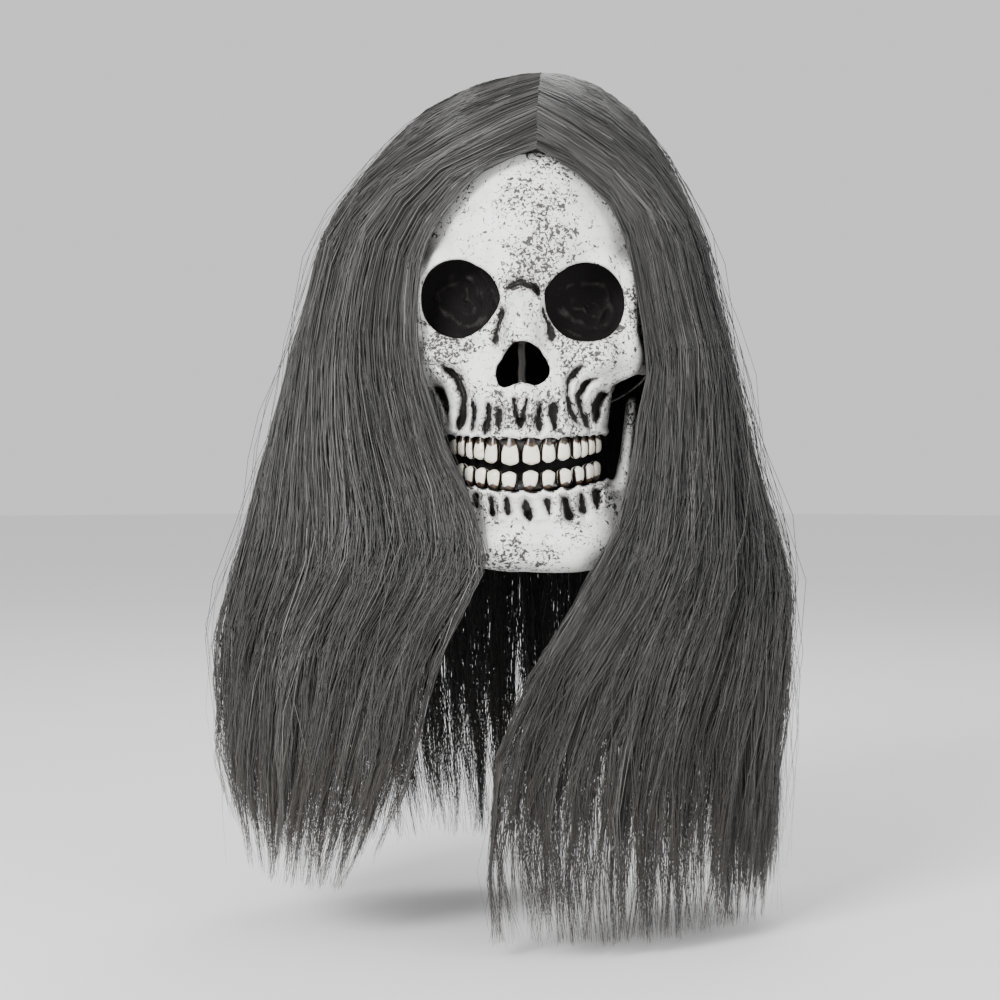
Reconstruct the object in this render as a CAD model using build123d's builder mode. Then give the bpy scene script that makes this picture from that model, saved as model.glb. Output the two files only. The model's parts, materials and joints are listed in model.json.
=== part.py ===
from build123d import *
import math
import os

# Latex skull mask with long synthetic hair.  Millimetres.  The face looks along -Y, +Z is up and
# +X is the wearer's left.  The origin is the centre of the wearer's head at eye level.

os.makedirs("parts", exist_ok=True)

# ---------------------------------------------------------------- driving dimensions
# the head that the mask is pulled over
head_half_width = 80.0
head_half_depth = 104.0
head_mid_y = 2.0
brow_z = 25.0
crown_rise = 97.0
latex_wall = 2.5

# the face below the brow
face_half_width = 68.0
gum_half_width = 43.0
face_front_y = -104.0
face_mid_y = -42.0
cheek_back_y = -50.0
gum_z = -78.0
side_edge_z = -44.0
nape_edge_z = -76.0
form_low_z = -96.0

# eye sockets and nose
socket_x = 35.0
socket_half_width = 22.5
socket_half_height = 21.5
socket_recess = 11.0
socket_front_y = -100.0
nose_z = -36.5
nose_half_height = 12.0
nose_hole_half_width = 6.5
septum = 4.5
nose_hole_x = septum / 2 + nose_hole_half_width

# teeth
upper_tooth_top = -78.2
upper_tooth_tip = -90.5
lower_tooth_tip = -96.5
lower_tooth_root = -103.8
upper_tooth_width = 10.8
lower_tooth_width = 10.8
arch_half_width = 43.0
arch_half_depth = 52.0
arch_mid_y = -52.0
arch_sweep = 158.0
tooth_depth = 7.0
upper_tooth_count = 14
lower_tooth_count = 12

# lower jaw
jaw_half_width = 58.0
jaw_half_depth = 76.0
jaw_mid_y = -28.0
jaw_lean_x = 1.5
chin_lean_x = 6.0
jaw_top_z = -104.0
chin_z = -151.0
ramus_top_z = -51.0
ramus_depth = 30.0
ramus_back_y = -12.0

# hair
gauze = 0.8
gauze_setback = 2.0
mouth_depth = 42.0
mouth_gauze_low = -98.5
hairline_half_width = 64.0
hairline_z = 82.0
parting_width = 6.0
cap_gap = 0.4
cap_thickness = 0.8
weft_thickness = 1.4
weft_height = 6.0
weft_count = 6
weft_low_z = 18.0
weft_step = 17.0
hair_inner_gap = 3.6
crown_low_z = 14.0
hair_top_z = 136.0
hair_past_side = 26.0  # how far the crown's hair reaches past the side of the head
hair_half_width = head_half_width + hair_past_side
hair_past_front = 17.0
hair_half_depth = head_half_depth + hair_past_front
hair_lean_x = -8.0
parting_half = 0.6
parting_x = 8.0
split_y = 45.0
body_gap = 1.0
curtain_top_z = 0.0
left_tip_z = -360.0
right_tip_z = -318.0
back_tip_z = -345.0

# room that cutting tools run past a face
CLEAR = 20.0
FAR = 400.0


# ---------------------------------------------------------------- shared shapes
def head_ring(level, gap):
    """Half width and half depth of the head form at a height, grown outwards by a gap."""
    if level >= brow_z:
        rise = min(1.0, (level - brow_z) / (crown_rise + gap))
        share = math.sqrt(max(0.0, 1.0 - rise * rise))
    else:
        share = 1.0 - 0.0011 * (brow_z - level)
    return (head_half_width + gap) * share, (head_half_depth + gap) * share


def head_form(gap):
    """Closed solid of the head form, grown outwards by a gap, from below the nape to the crown."""
    top = brow_z + crown_rise + gap
    shares = (0.0, 0.3, 0.55, 0.75, 0.88, 0.96, 0.995)
    below = (1.0, 0.75, 0.5, 0.25)
    levels = [brow_z + (form_low_z - brow_z) * s for s in below]
    levels += [brow_z + (top - brow_z) * s for s in shares]
    with BuildPart() as form:
        for level in levels:
            half_w, half_d = head_ring(level, gap)
            with BuildSketch(Plane.XY.offset(level)):
                with Locations((0, head_mid_y)):
                    Ellipse(half_w, half_d)
        loft()
    return form.part


def ring_form(rings, ruled=False):
    """Loft through (level, half width, half depth, centre x, centre y) rings."""
    with BuildPart() as form:
        for level, half_w, half_d, mid_x, mid_y in rings:
            with BuildSketch(Plane.XY.offset(level)):
                with Locations((mid_x, mid_y)):
                    Ellipse(half_w, half_d)
        loft(ruled=ruled)
    return form.part


def block(x0, x1, y0, y1, z0, z1):
    """A box between two corners."""
    with BuildPart() as piece:
        with Locations(((x0 + x1) / 2, (y0 + y1) / 2, (z0 + z1) / 2)):
            Box(x1 - x0, y1 - y0, z1 - z0)
    return piece.part


def side_profile(points):
    """A prism right across the mask from a side view given as (y, z) points."""
    with BuildPart() as prism:
        with BuildSketch(Plane.YZ):
            with BuildLine():
                Polyline(*points, close=True)
            make_face()
        extrude(amount=FAR, both=True)
    return prism.part


def front_profile(points, near, far):
    """A prism from front to back from a front view given as (x, z) points."""
    with BuildPart() as prism:
        with BuildSketch(Plane.XZ.offset(-far)):
            with BuildLine():
                Polyline(*points, close=True)
            make_face()
        extrude(amount=far - near)
    return prism.part


def save(piece, name):
    piece.part.label = name
    export_step(piece.part, "parts/" + name + ".step")


# ---------------------------------------------------------------- skull shell
def face_rings(shrink):
    """Rings of the face from the brow to the gum, shrunk by a wall."""
    mid = face_mid_y
    depth = mid - face_front_y - shrink
    return [
        (brow_z + 6 - shrink, face_half_width - 3 - shrink, depth - 2, 0, mid),
        (0.0, face_half_width - 1 - shrink, depth, 0, mid),
        (-30.0, face_half_width - shrink, depth, 0, mid),
        (side_edge_z - 6, gum_half_width + 11 - shrink, depth, 0, mid),
        (-62.0, gum_half_width + 3 - shrink, depth, 0, mid),
        (gum_z - shrink, gum_half_width - shrink, depth, 0, mid),
    ]


below_sides = block(-FAR, FAR, cheek_back_y, FAR, -FAR, side_edge_z)
with BuildPart() as skull_shell:
    add(head_form(0))
    add(side_profile([
        (-FAR, side_edge_z),
        (head_mid_y + CLEAR, side_edge_z),
        (head_mid_y + head_half_depth, nape_edge_z),
        (FAR, nape_edge_z),
        (FAR, -FAR),
        (-FAR, -FAR),
    ]), mode=Mode.SUBTRACT)
    add(ring_form(face_rings(0)) - below_sides)
    add(head_form(-latex_wall)
        - block(-FAR, FAR, -FAR, cheek_back_y, -FAR, side_edge_z), mode=Mode.SUBTRACT)
    add(ring_form(face_rings(latex_wall)), mode=Mode.SUBTRACT)
    with BuildSketch(Plane.XZ.offset(-head_mid_y)):
        with Locations((-socket_x, 0), (socket_x, 0)):
            Ellipse(socket_half_width, socket_half_height)
        with Locations((-nose_hole_x, nose_z), (nose_hole_x, nose_z)):
            Ellipse(nose_hole_half_width, nose_half_height)
    extrude(amount=FAR, mode=Mode.SUBTRACT)
save(skull_shell, "skull_shell")


# ---------------------------------------------------------------- gauze behind the openings
for side, name in ((1, "left_eye_gauze"), (-1, "right_eye_gauze")):
    with BuildPart() as eye_gauze:
        with Locations((side * socket_x, socket_front_y + socket_recess, 0)):
            Box(2 * socket_half_width - 2, gauze, 2 * socket_half_height - 2)
        fillet(eye_gauze.edges().filter_by(Axis.Y), socket_half_height - 2)
    save(eye_gauze, name)

with BuildPart() as mouth_gauze:
    with BuildSketch(Plane.XY.offset(mouth_gauze_low)):
        with Locations((0, arch_mid_y)):
            Ellipse(arch_half_width - tooth_depth - gauze_setback, mouth_depth)
            Ellipse(arch_half_width - tooth_depth - gauze_setback - gauze, mouth_depth - gauze,
                    mode=Mode.SUBTRACT)
        with Locations((0, arch_mid_y + FAR / 2 - 8)):
            Rectangle(FAR, FAR, mode=Mode.SUBTRACT)
    extrude(amount=upper_tooth_top - mouth_gauze_low)
save(mouth_gauze, "mouth_gauze")


# ---------------------------------------------------------------- teeth
def tooth_row(count, centre_width, low, high, mid_x):
    """A row of teeth standing along the dental arch, joined by a thin band behind them."""
    inner_w = arch_half_width - tooth_depth
    inner_d = arch_half_depth - tooth_depth
    with BuildPart() as row:
        with BuildSketch(Plane.XY.offset(low)):
            for k in range(count):
                turn = (k - (count - 1) / 2) * arch_sweep / (count - 1)
                a = math.radians(turn)
                spot = (mid_x + (arch_half_width - tooth_depth / 2) * math.sin(a),
                        arch_mid_y - (arch_half_depth - tooth_depth / 2) * math.cos(a))
                width = centre_width * (1 - 0.25 * abs(turn) / (arch_sweep / 2))
                with Locations(Location((spot[0], spot[1], 0), turn)):
                    RectangleRounded(width, tooth_depth, 1.8)
            with Locations((mid_x, arch_mid_y)):
                Ellipse(inner_w + 3, inner_d + 3)
                Ellipse(inner_w + 1, inner_d + 1, mode=Mode.SUBTRACT)
            with Locations((0, arch_mid_y + FAR / 2 - 8)):
                Rectangle(FAR, FAR, mode=Mode.SUBTRACT)
        extrude(amount=high - low)
    return row


upper_row = tooth_row(upper_tooth_count, upper_tooth_width, upper_tooth_tip, upper_tooth_top, 0)
save(upper_row, "upper_teeth")
lower_row = tooth_row(lower_tooth_count, lower_tooth_width, lower_tooth_root, lower_tooth_tip,
                      jaw_lean_x)
save(lower_row, "lower_teeth")


# ---------------------------------------------------------------- lower jaw
def jaw_rings(shrink):
    """Rings of the lower jaw from above the jaw joint to the chin, shrunk by a wall."""
    low = chin_z + shrink
    mid_lean = (jaw_lean_x + chin_lean_x) / 2
    return [
        (ramus_top_z + CLEAR + shrink, jaw_half_width - shrink, jaw_half_depth - shrink,
         jaw_lean_x, jaw_mid_y),
        (jaw_top_z, jaw_half_width - 3 - shrink, jaw_half_depth - 2 - shrink,
         jaw_lean_x, jaw_mid_y - 2),
        (-126.0, jaw_half_width - 9 - shrink, jaw_half_depth - 10 - shrink,
         mid_lean, jaw_mid_y - 8),
        (low + 8, jaw_half_width - 20 - shrink, jaw_half_depth - 26 - shrink,
         chin_lean_x, jaw_mid_y - 22),
        (low, jaw_half_width - 28 - shrink, jaw_half_depth - 36 - shrink,
         chin_lean_x, jaw_mid_y - 30),
    ]


with BuildPart() as jaw_shell:
    add(ring_form(jaw_rings(0), ruled=True))
    add(ring_form(jaw_rings(latex_wall), ruled=True), mode=Mode.SUBTRACT)
    add(side_profile([
        (-FAR, jaw_top_z),
        (ramus_back_y - ramus_depth - 18, jaw_top_z),
        (ramus_back_y - ramus_depth, ramus_top_z),
        (ramus_back_y, ramus_top_z),
        (ramus_back_y, -114.0),
        (-62.0, chin_z - 8),
        (-FAR, chin_z - 8),
    ]), mode=Mode.INTERSECT)
save(jaw_shell, "jaw_shell")


# ---------------------------------------------------------------- wig: cap, parting and wefts
face_window = front_profile(
    [(hairline_half_width * math.cos(math.radians(a))
      + parting_x * max(0.0, math.sin(math.radians(a))) ** 2,
      hairline_z * math.sin(math.radians(a))) for a in range(0, 360, 10)], -FAR, -CLEAR)
above_crown_low = block(-FAR, FAR, -FAR, FAR, crown_low_z, FAR)


def coat(inner_gap, outer_gap):
    """A coat over the head form between two gaps, above the hair's low edge and off the face."""
    layer = head_form(outer_gap) - head_form(inner_gap)
    return (layer & above_crown_low) - face_window


with BuildPart() as wig_cap:
    add(coat(cap_gap, cap_gap + cap_thickness))
save(wig_cap, "wig_cap")

cap_outer = cap_gap + cap_thickness
parting_box = block(parting_x - parting_width / 2, parting_x + parting_width / 2, -FAR, CLEAR,
                    brow_z, FAR)
with BuildPart() as parting_strip:
    add(coat(cap_outer + cap_gap, cap_outer + cap_gap + cap_thickness) & parting_box)
save(parting_strip, "parting_strip")

weft_coat = coat(cap_outer + cap_gap, cap_outer + cap_gap + weft_thickness)
weft_gap = block(parting_x - parting_width, parting_x + parting_width, -FAR, CLEAR + 4, brow_z,
                 FAR)
for k in range(weft_count):
    low = weft_low_z + k * weft_step
    with BuildPart() as weft:
        add((weft_coat - weft_gap) & block(-FAR, FAR, -FAR, FAR, low, low + weft_height))
    save(weft, "weft_" + str(k + 1))


# ---------------------------------------------------------------- hair over the crown
def hair_dome():
    """Outside of the hair over the crown, leaning a little towards the wearer's right."""
    rise = hair_top_z - brow_z
    rings = [(crown_low_z - CLEAR, hair_half_width, hair_half_depth, hair_lean_x, head_mid_y)]
    for share in (0.0, 0.3, 0.55, 0.75, 0.88, 0.96, 0.995):
        size = math.sqrt(1 - share * share)
        rings.append((brow_z + rise * share, hair_half_width * size, hair_half_depth * size,
                      hair_lean_x, head_mid_y))
    return ring_form(rings)


crown_coat = ((hair_dome() - head_form(hair_inner_gap))
              & above_crown_low) - face_window
crown_parts = {
    "crown_hair_left": block(parting_x + parting_half, FAR, -FAR, split_y, -FAR, FAR),
    "crown_hair_right": block(-FAR, parting_x - parting_half, -FAR, split_y, -FAR, FAR),
    "crown_hair_back": block(-FAR, FAR, split_y + body_gap, FAR, -FAR, FAR),
}
for name, region in crown_parts.items():
    with BuildPart() as crown_hair:
        add(crown_coat & region)
    save(crown_hair, name)


# ---------------------------------------------------------------- hanging hair
def past_head(rings):
    """Rings whose half width and half depth are given past the side and front of the head."""
    return [(level, head_half_width + side, head_half_depth + front, x, y)
            for level, side, front, x, y in rings]


# outside and inside rings: level, reach past the side and the front, centre x, centre y
curtain_outside = [
    (curtain_top_z, 35.5, 17.0, -14.5, 3.0),
    (-60.0, 56.5, 12.0, -18.5, 4.0),
    (-110.0, 69.0, 9.0, -21.0, 4.0),
    (-150.0, 87.0, 8.0, -15.0, 4.0),
    (-200.0, 90.0, 8.0, -17.0, 4.0),
    (-280.0, 82.0, 8.0, -14.0, 4.0),
    (left_tip_z, 66.0, 4.0, -5.0, 4.0),
]
curtain_inside = [
    (curtain_top_z + CLEAR, 4.0, 4.5, 0.0, 2.0),
    (curtain_top_z - 5, 4.5, 4.5, 0.0, 2.0),
    (-60.0, 18.0, -1.0, -5.0, 3.0),
    (-110.0, 35.0, -3.0, -10.0, 3.0),
    (-150.0, 56.0, -4.0, -10.0, 3.0),
    (-200.0, 66.0, -4.0, -12.0, 3.0),
    (-280.0, 62.0, -4.0, -12.0, 3.0),
    (left_tip_z - CLEAR, 48.0, -6.0, -5.0, 3.0),
]
# the gap between the two front edges, seen from the front
front_gap = front_profile([
    (-69.0, 30.0), (-69.0, -10.0), (-60.0, -80.0), (-44.0, -110.0), (-36.0, -144.0),
    (-54.0, -195.0), (-68.0, -252.0), (-90.0, left_tip_z - CLEAR),
    (60.0, left_tip_z - CLEAR), (30.0, -300.0), (6.0, -250.0), (8.0, -215.0), (22.0, -180.0),
    (42.0, -144.0), (55.0, -110.0), (65.0, -60.0), (69.0, -20.0), (69.0, 30.0),
], -FAR, -CLEAR)
curtain = (ring_form(past_head(curtain_outside), ruled=True)
           - ring_form(past_head(curtain_inside), ruled=True))
curtain = curtain - front_gap
curtain_parts = {
    "left_hair": block(0, FAR, -FAR, split_y, left_tip_z, FAR),
    "right_hair": block(-FAR, 0, -FAR, split_y, right_tip_z, FAR),
    "back_hair": block(-FAR, FAR, split_y + body_gap, FAR, back_tip_z, FAR),
}
for name, region in curtain_parts.items():
    with BuildPart() as hanging:
        add(curtain & region)
    save(hanging, name)
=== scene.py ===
import json
import math

import bmesh
import bpy
import numpy as np
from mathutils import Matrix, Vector

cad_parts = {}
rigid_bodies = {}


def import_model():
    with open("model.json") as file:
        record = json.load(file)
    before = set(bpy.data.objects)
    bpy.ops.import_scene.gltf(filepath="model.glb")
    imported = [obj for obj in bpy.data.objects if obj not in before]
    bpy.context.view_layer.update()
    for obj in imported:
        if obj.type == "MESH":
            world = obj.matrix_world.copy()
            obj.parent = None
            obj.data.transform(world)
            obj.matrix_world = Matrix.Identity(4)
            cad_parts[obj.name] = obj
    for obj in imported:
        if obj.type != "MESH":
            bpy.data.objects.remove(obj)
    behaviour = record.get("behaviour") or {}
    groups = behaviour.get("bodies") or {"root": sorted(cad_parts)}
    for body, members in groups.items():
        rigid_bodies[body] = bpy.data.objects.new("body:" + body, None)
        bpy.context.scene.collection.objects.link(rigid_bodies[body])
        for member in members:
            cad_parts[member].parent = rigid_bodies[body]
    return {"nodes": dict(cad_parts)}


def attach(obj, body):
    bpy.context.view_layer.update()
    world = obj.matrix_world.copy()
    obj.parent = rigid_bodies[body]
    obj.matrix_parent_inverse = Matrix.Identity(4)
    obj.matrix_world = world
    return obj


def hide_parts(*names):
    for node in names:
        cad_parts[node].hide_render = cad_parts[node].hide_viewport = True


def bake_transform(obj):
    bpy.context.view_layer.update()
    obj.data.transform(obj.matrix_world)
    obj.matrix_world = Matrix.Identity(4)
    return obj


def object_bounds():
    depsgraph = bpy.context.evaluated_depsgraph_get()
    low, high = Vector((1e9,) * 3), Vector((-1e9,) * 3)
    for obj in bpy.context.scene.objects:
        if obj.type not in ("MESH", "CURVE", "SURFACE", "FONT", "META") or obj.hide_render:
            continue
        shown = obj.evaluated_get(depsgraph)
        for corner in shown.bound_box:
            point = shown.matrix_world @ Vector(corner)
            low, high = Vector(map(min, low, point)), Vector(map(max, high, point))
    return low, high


for leftover in list(bpy.data.objects):
    bpy.data.objects.remove(leftover)
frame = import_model()
cad_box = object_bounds()

MM = 0.001
EVERYWHERE = ([-1e4] * 3, [1e4] * 3)
SEED = 20531


# ------------------------------------------------------------------ distance-field sculpting
def smooth_step(t):
    t = np.clip(t, 0.0, 1.0)
    return t * t * (3.0 - 2.0 * t)


def soft_union(a, b, k):
    h = np.maximum(k - np.abs(a - b), 0.0) / k
    return np.minimum(a, b) - h * h * k * 0.25


def soft_cut(a, b, k):
    """a with b taken away, the edge rounded by k."""
    h = np.maximum(k - np.abs(a + b), 0.0) / k
    return np.maximum(a, -b) + h * h * k * 0.25


def ellipsoid(x, y, z, centre, radii):
    px, py, pz = x - centre[0], y - centre[1], z - centre[2]
    k0 = np.sqrt((px / radii[0]) ** 2 + (py / radii[1]) ** 2 + (pz / radii[2]) ** 2)
    k1 = np.sqrt((px / radii[0] ** 2) ** 2 + (py / radii[1] ** 2) ** 2 + (pz / radii[2] ** 2) ** 2)
    return k0 * (k0 - 1.0) / np.maximum(k1, 1e-6)


def capsule(x, y, z, a, b, ra, rb, flat=(1.0, 1.0, 1.0)):
    """A rod from a to b with end radii ra and rb, widened along the axes by flat."""
    a, b, f = np.array(a, float), np.array(b, float), np.array(flat, float)
    ab = (b - a) / f
    px, py, pz = (x - a[0]) / f[0], (y - a[1]) / f[1], (z - a[2]) / f[2]
    t = np.clip((px * ab[0] + py * ab[1] + pz * ab[2]) / float(ab @ ab), 0.0, 1.0)
    dist = np.sqrt((px - ab[0] * t) ** 2 + (py - ab[1] * t) ** 2 + (pz - ab[2] * t) ** 2)
    return (dist - (ra + (rb - ra) * t)) * float(f.min())


def tube_ring(x, y, centre, radii):
    """An upright elliptical column."""
    px, py = x - centre[0], y - centre[1]
    k0 = np.sqrt((px / radii[0]) ** 2 + (py / radii[1]) ** 2)
    k1 = np.sqrt((px / radii[0] ** 2) ** 2 + (py / radii[1] ** 2) ** 2)
    return k0 * (k0 - 1.0) / np.maximum(k1, 1e-6)


class Sculpt:
    """A block of clay: a distance field on a grid, in millimetres."""

    def __init__(self, xs, ys, zs):
        self.axes = [np.asarray(v, np.float32) for v in (xs, ys, zs)]
        self.d = np.full([len(v) for v in self.axes], 60.0, np.float32)

    def window(self, low, high):
        cuts = []
        for v, a, b in zip(self.axes, low, high):
            i, j = np.searchsorted(v, a), np.searchsorted(v, b)
            cuts.append(slice(max(int(i) - 1, 0), int(j) + 1))
        x = self.axes[0][cuts[0]][:, None, None]
        y = self.axes[1][cuts[1]][None, :, None]
        z = self.axes[2][cuts[2]][None, None, :]
        return tuple(cuts), x, y, z

    def everywhere(self):
        return self.window(*EVERYWHERE)

    def add(self, form, low, high, k=4.0):
        cuts, x, y, z = self.window(low, high)
        self.d[cuts] = soft_union(self.d[cuts], form(x, y, z).astype(np.float32), k)

    def cut(self, form, low, high, k=4.0):
        cuts, x, y, z = self.window(low, high)
        self.d[cuts] = soft_cut(self.d[cuts], form(x, y, z).astype(np.float32), k)

    def rod(self, low, high, k, *shape):
        """Adds a capsule of this shape."""
        self.add(lambda x, y, z: capsule(x, y, z, *shape), low, high, k)

    def bowl(self, low, high, k, *shape):
        """Takes an ellipsoid of this shape away."""
        self.cut(lambda x, y, z: ellipsoid(x, y, z, *shape), low, high, k)

    def sample(self, points, values=None):
        """Trilinear value of the field at points."""
        values = self.d if values is None else values
        base, part = [], []
        for k in range(3):
            v = self.axes[k]
            i = np.clip(np.searchsorted(v, points[:, k]) - 1, 0, len(v) - 2)
            base.append(i)
            part.append(np.clip((points[:, k] - v[i]) / (v[i + 1] - v[i]), 0, 1))
        out = np.zeros(len(points), np.float32)
        for corner in range(8):
            o = [(corner >> k) & 1 for k in range(3)]
            weight = np.ones(len(points), np.float32)
            for k in range(3):
                weight = weight * (part[k] if o[k] else 1 - part[k])
            out += weight * values[base[0] + o[0], base[1] + o[1], base[2] + o[2]]
        return out

    def skin(self):
        """Vertices and outward quads of the surface where the field is zero."""
        d = self.d
        inside = d < 0
        count = np.zeros([n - 1 for n in d.shape], np.int8)
        corners = [(a, b, c) for a in (0, 1) for b in (0, 1) for c in (0, 1)]
        for a, b, c in corners:
            count += inside[a:d.shape[0] - 1 + a, b:d.shape[1] - 1 + b, c:d.shape[2] - 1 + c]
        cells = np.argwhere((count > 0) & (count < 8))
        index = -np.ones(count.shape, np.int32)
        index[tuple(cells.T)] = np.arange(len(cells))
        value = {o: d[cells[:, 0] + o[0], cells[:, 1] + o[1], cells[:, 2] + o[2]] for o in corners}
        place = {}
        for o in corners:
            place[o] = np.stack([self.axes[k][cells[:, k] + o[k]] for k in range(3)], 1)
        total = np.zeros((len(cells), 3))
        hits = np.zeros(len(cells))
        for o in corners:
            for k in range(3):
                if o[k]:
                    continue
                p = tuple(v + (1 if n == k else 0) for n, v in enumerate(o))
                crossing = (value[o] < 0) != (value[p] < 0)
                t = value[o] / np.where(crossing, value[o] - value[p], 1.0)
                spot = place[o] + (place[p] - place[o]) * t[:, None]
                total[crossing] += spot[crossing]
                hits[crossing] += 1
        points = total / hits[:, None]
        quads = []
        for k in range(3):
            shift = [slice(None)] * 3
            shift[k] = slice(1, None)
            back = [slice(None)] * 3
            back[k] = slice(None, -1)
            change = inside[tuple(back)].astype(np.int8) - inside[tuple(shift)]
            u, v = [n for n in range(3) if n != k]
            edges = np.argwhere(change != 0)
            keep = (edges[:, u] > 0) & (edges[:, v] > 0)
            keep &= (edges[:, u] < d.shape[u] - 1) & (edges[:, v] < d.shape[v] - 1)
            edges = edges[keep]
            sign = change[tuple(edges.T)]
            ring = []
            for du, dv in ((1, 1), (0, 1), (0, 0), (1, 0)):
                cell = edges.copy()
                cell[:, u] -= du
                cell[:, v] -= dv
                ring.append(index[tuple(cell.T)])
            ring = np.stack(ring, 1)
            flip = (sign < 0) if k != 1 else (sign > 0)
            ring[flip] = ring[flip][:, ::-1]
            quads.append(ring)
        return points, np.concatenate(quads)

    def settle(self, points, quads, rounds=3):
        """Evens the vertices out and puts them back on the surface."""
        step = 0.35
        a = quads.ravel()
        b = np.roll(quads, -1, axis=1).ravel()
        degree = np.bincount(a, minlength=len(points)) + np.bincount(b, minlength=len(points))
        for _ in range(rounds):
            mean = np.zeros_like(points)
            for k in range(3):
                mean[:, k] = (np.bincount(a, points[b, k], len(points))
                              + np.bincount(b, points[a, k], len(points)))
            mean /= degree[:, None]
            points = points + (mean - points) * 0.5
            for _ in range(2):
                here = self.sample(points)
                slope = np.stack([self.sample(points + step * np.eye(3)[k])
                                  - self.sample(points - step * np.eye(3)[k])
                                  for k in range(3)], 1) / (2 * step)
                size = np.maximum((slope ** 2).sum(1), 0.25)
                move = np.clip(here / size, -0.5, 0.5)
                points = points - slope * move[:, None]
        return points


def near_curve(x, z, points):
    """Distance in the front view from a line drawn through points, and how far along it."""
    best = np.full(np.broadcast(x, z).shape, 1e3, np.float32)
    along = np.zeros_like(best)
    pts = np.array(points, float)
    total = len(pts) - 1
    for n in range(total):
        a, b = pts[n], pts[n + 1]
        ab = b - a
        t = np.clip(((x - a[0]) * ab[0] + (z - a[1]) * ab[1]) / float(ab @ ab), 0, 1)
        dist = np.hypot(x - a[0] - ab[0] * t, z - a[1] - ab[1] * t)
        closer = dist < best
        best = np.where(closer, dist, best)
        along = np.where(closer, (n + t) / total, along)
    return best, along


def outline_radius(degrees, outline):
    """The radius of an outline at these angles, straight between its marks."""
    marks = sorted(outline)
    turns = np.array([marks[-1][0] - 360] + [m[0] for m in marks] + [marks[0][0] + 360], float)
    sizes = np.array([marks[-1][1]] + [m[1] for m in marks] + [marks[0][1]], float)
    return np.interp(degrees, turns, sizes)


def drawn_hole(x, z, centre, outline):
    """Distance from an outline given as (angle, radius) pairs round a centre."""
    px, pz = x - centre[0], z - centre[1]
    angle = np.degrees(np.arctan2(pz, px)) % 360.0
    return np.hypot(px, pz) - outline_radius(angle, outline)


def box_blur(field, size):
    """Moving average over a cube of 2 * size + 1 cells."""
    for k in range(3):
        pad = [(0, 0)] * 3
        pad[k] = (size + 1, size)
        total = np.cumsum(np.pad(field, pad, mode="edge"), axis=k, dtype=np.float64)
        far = [slice(None)] * 3
        far[k] = slice(2 * size + 1, None)
        near = [slice(None)] * 3
        near[k] = slice(0, -(2 * size + 1))
        field = ((total[tuple(far)] - total[tuple(near)]) / (2 * size + 1)).astype(np.float32)
    return field


# ------------------------------------------------------------------ the skull, in millimetres
# outlines of the hand-cut openings: angle from +X towards +Z, radius
RIGHT_SOCKET = ((-34.3, 0.5), [
    (0, 22.6), (21, 21.8), (48, 21.0), (64, 20.6), (90, 22.0), (116, 23.0), (142, 23.6),
    (165, 23.0), (180, 22.6), (205, 22.6), (237, 21.8), (270, 21.4), (303, 19.9), (332, 20.2)])
LEFT_SOCKET = ((34.5, -1.0), [
    (0, 22.0), (27, 22.2), (49, 22.2), (90, 21.7), (121, 20.8), (150, 21.5), (164, 22.6),
    (180, 21.6), (209, 21.2), (240, 21.7), (270, 21.7), (301, 23.0), (321, 22.8), (345, 22.3)])
NOSE_OPENING = ((0.5, -37.4), [
    (0, 15.2), (8, 14.4), (30, 13.4), (54, 13.8), (74, 14.3), (90, 14.2), (110, 13.9),
    (135, 12.4), (158, 11.9), (180, 14.0), (197, 15.1), (217, 15.9), (227, 14.9), (244, 10.2),
    (268, 7.8), (294, 9.7), (310, 12.6), (331, 14.4), (346, 15.4)])

# creases of the upper face, seen from the front: points, half width, depth
FACE_CREASES = [
    ([(-9.5, 1.5), (-6.5, 7.0), (0.0, 9.8), (7.0, 7.4), (10.8, 1.6)], 2.1, 3.2),
    ([(-9.5, 1.5), (-10.0, -8.0), (-12.8, -16.5), (-14.0, -24.0)], 2.2, 2.1),
    ([(10.8, 1.6), (12.8, -7.0), (16.2, -15.6), (18.0, -23.0)], 2.2, 2.1),
    ([(-56.0, -36.5), (-44.0, -35.7), (-36.2, -41.7), (-31.8, -52.2), (-32.7, -64.3),
      (-35.3, -73.0)], 2.3, 3.8),
    ([(-56.0, -44.0), (-45.7, -50.4), (-42.3, -59.0), (-43.5, -70.0)], 2.1, 3.5),
    ([(-28.3, -51.0), (-25.7, -61.0), (-27.5, -73.0)], 1.8, 3.1),
    ([(-19.3, -52.0), (-17.6, -62.6), (-19.7, -73.0)], 1.8, 3.2),
    ([(-11.6, -55.7), (-11.8, -73.0)], 1.8, 3.1),
    ([(-3.6, -50.0), (-3.2, -57.4), (-0.6, -70.4)], 1.6, 2.9),
    ([(3.8, -50.0), (3.0, -57.4), (0.4, -69.0)], 1.6, 2.9),
    ([(11.7, -52.2), (9.6, -64.3), (10.8, -73.0)], 2.0, 3.4),
    ([(18.6, -51.5), (17.2, -62.6), (19.5, -73.0)], 2.0, 3.4),
    ([(41.0, -35.5), (32.0, -36.8), (26.2, -43.5), (25.4, -52.2), (27.5, -61.0),
      (32.0, -68.0)], 2.1, 3.2),
    ([(47.0, -42.5), (39.0, -43.2), (34.2, -46.6), (31.2, -53.0), (33.5, -62.0),
      (37.5, -71.0)], 2.0, 3.5),
    ([(52.0, -50.5), (44.5, -51.8), (40.5, -58.0), (41.2, -67.8)], 1.8, 3.2),
]
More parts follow.
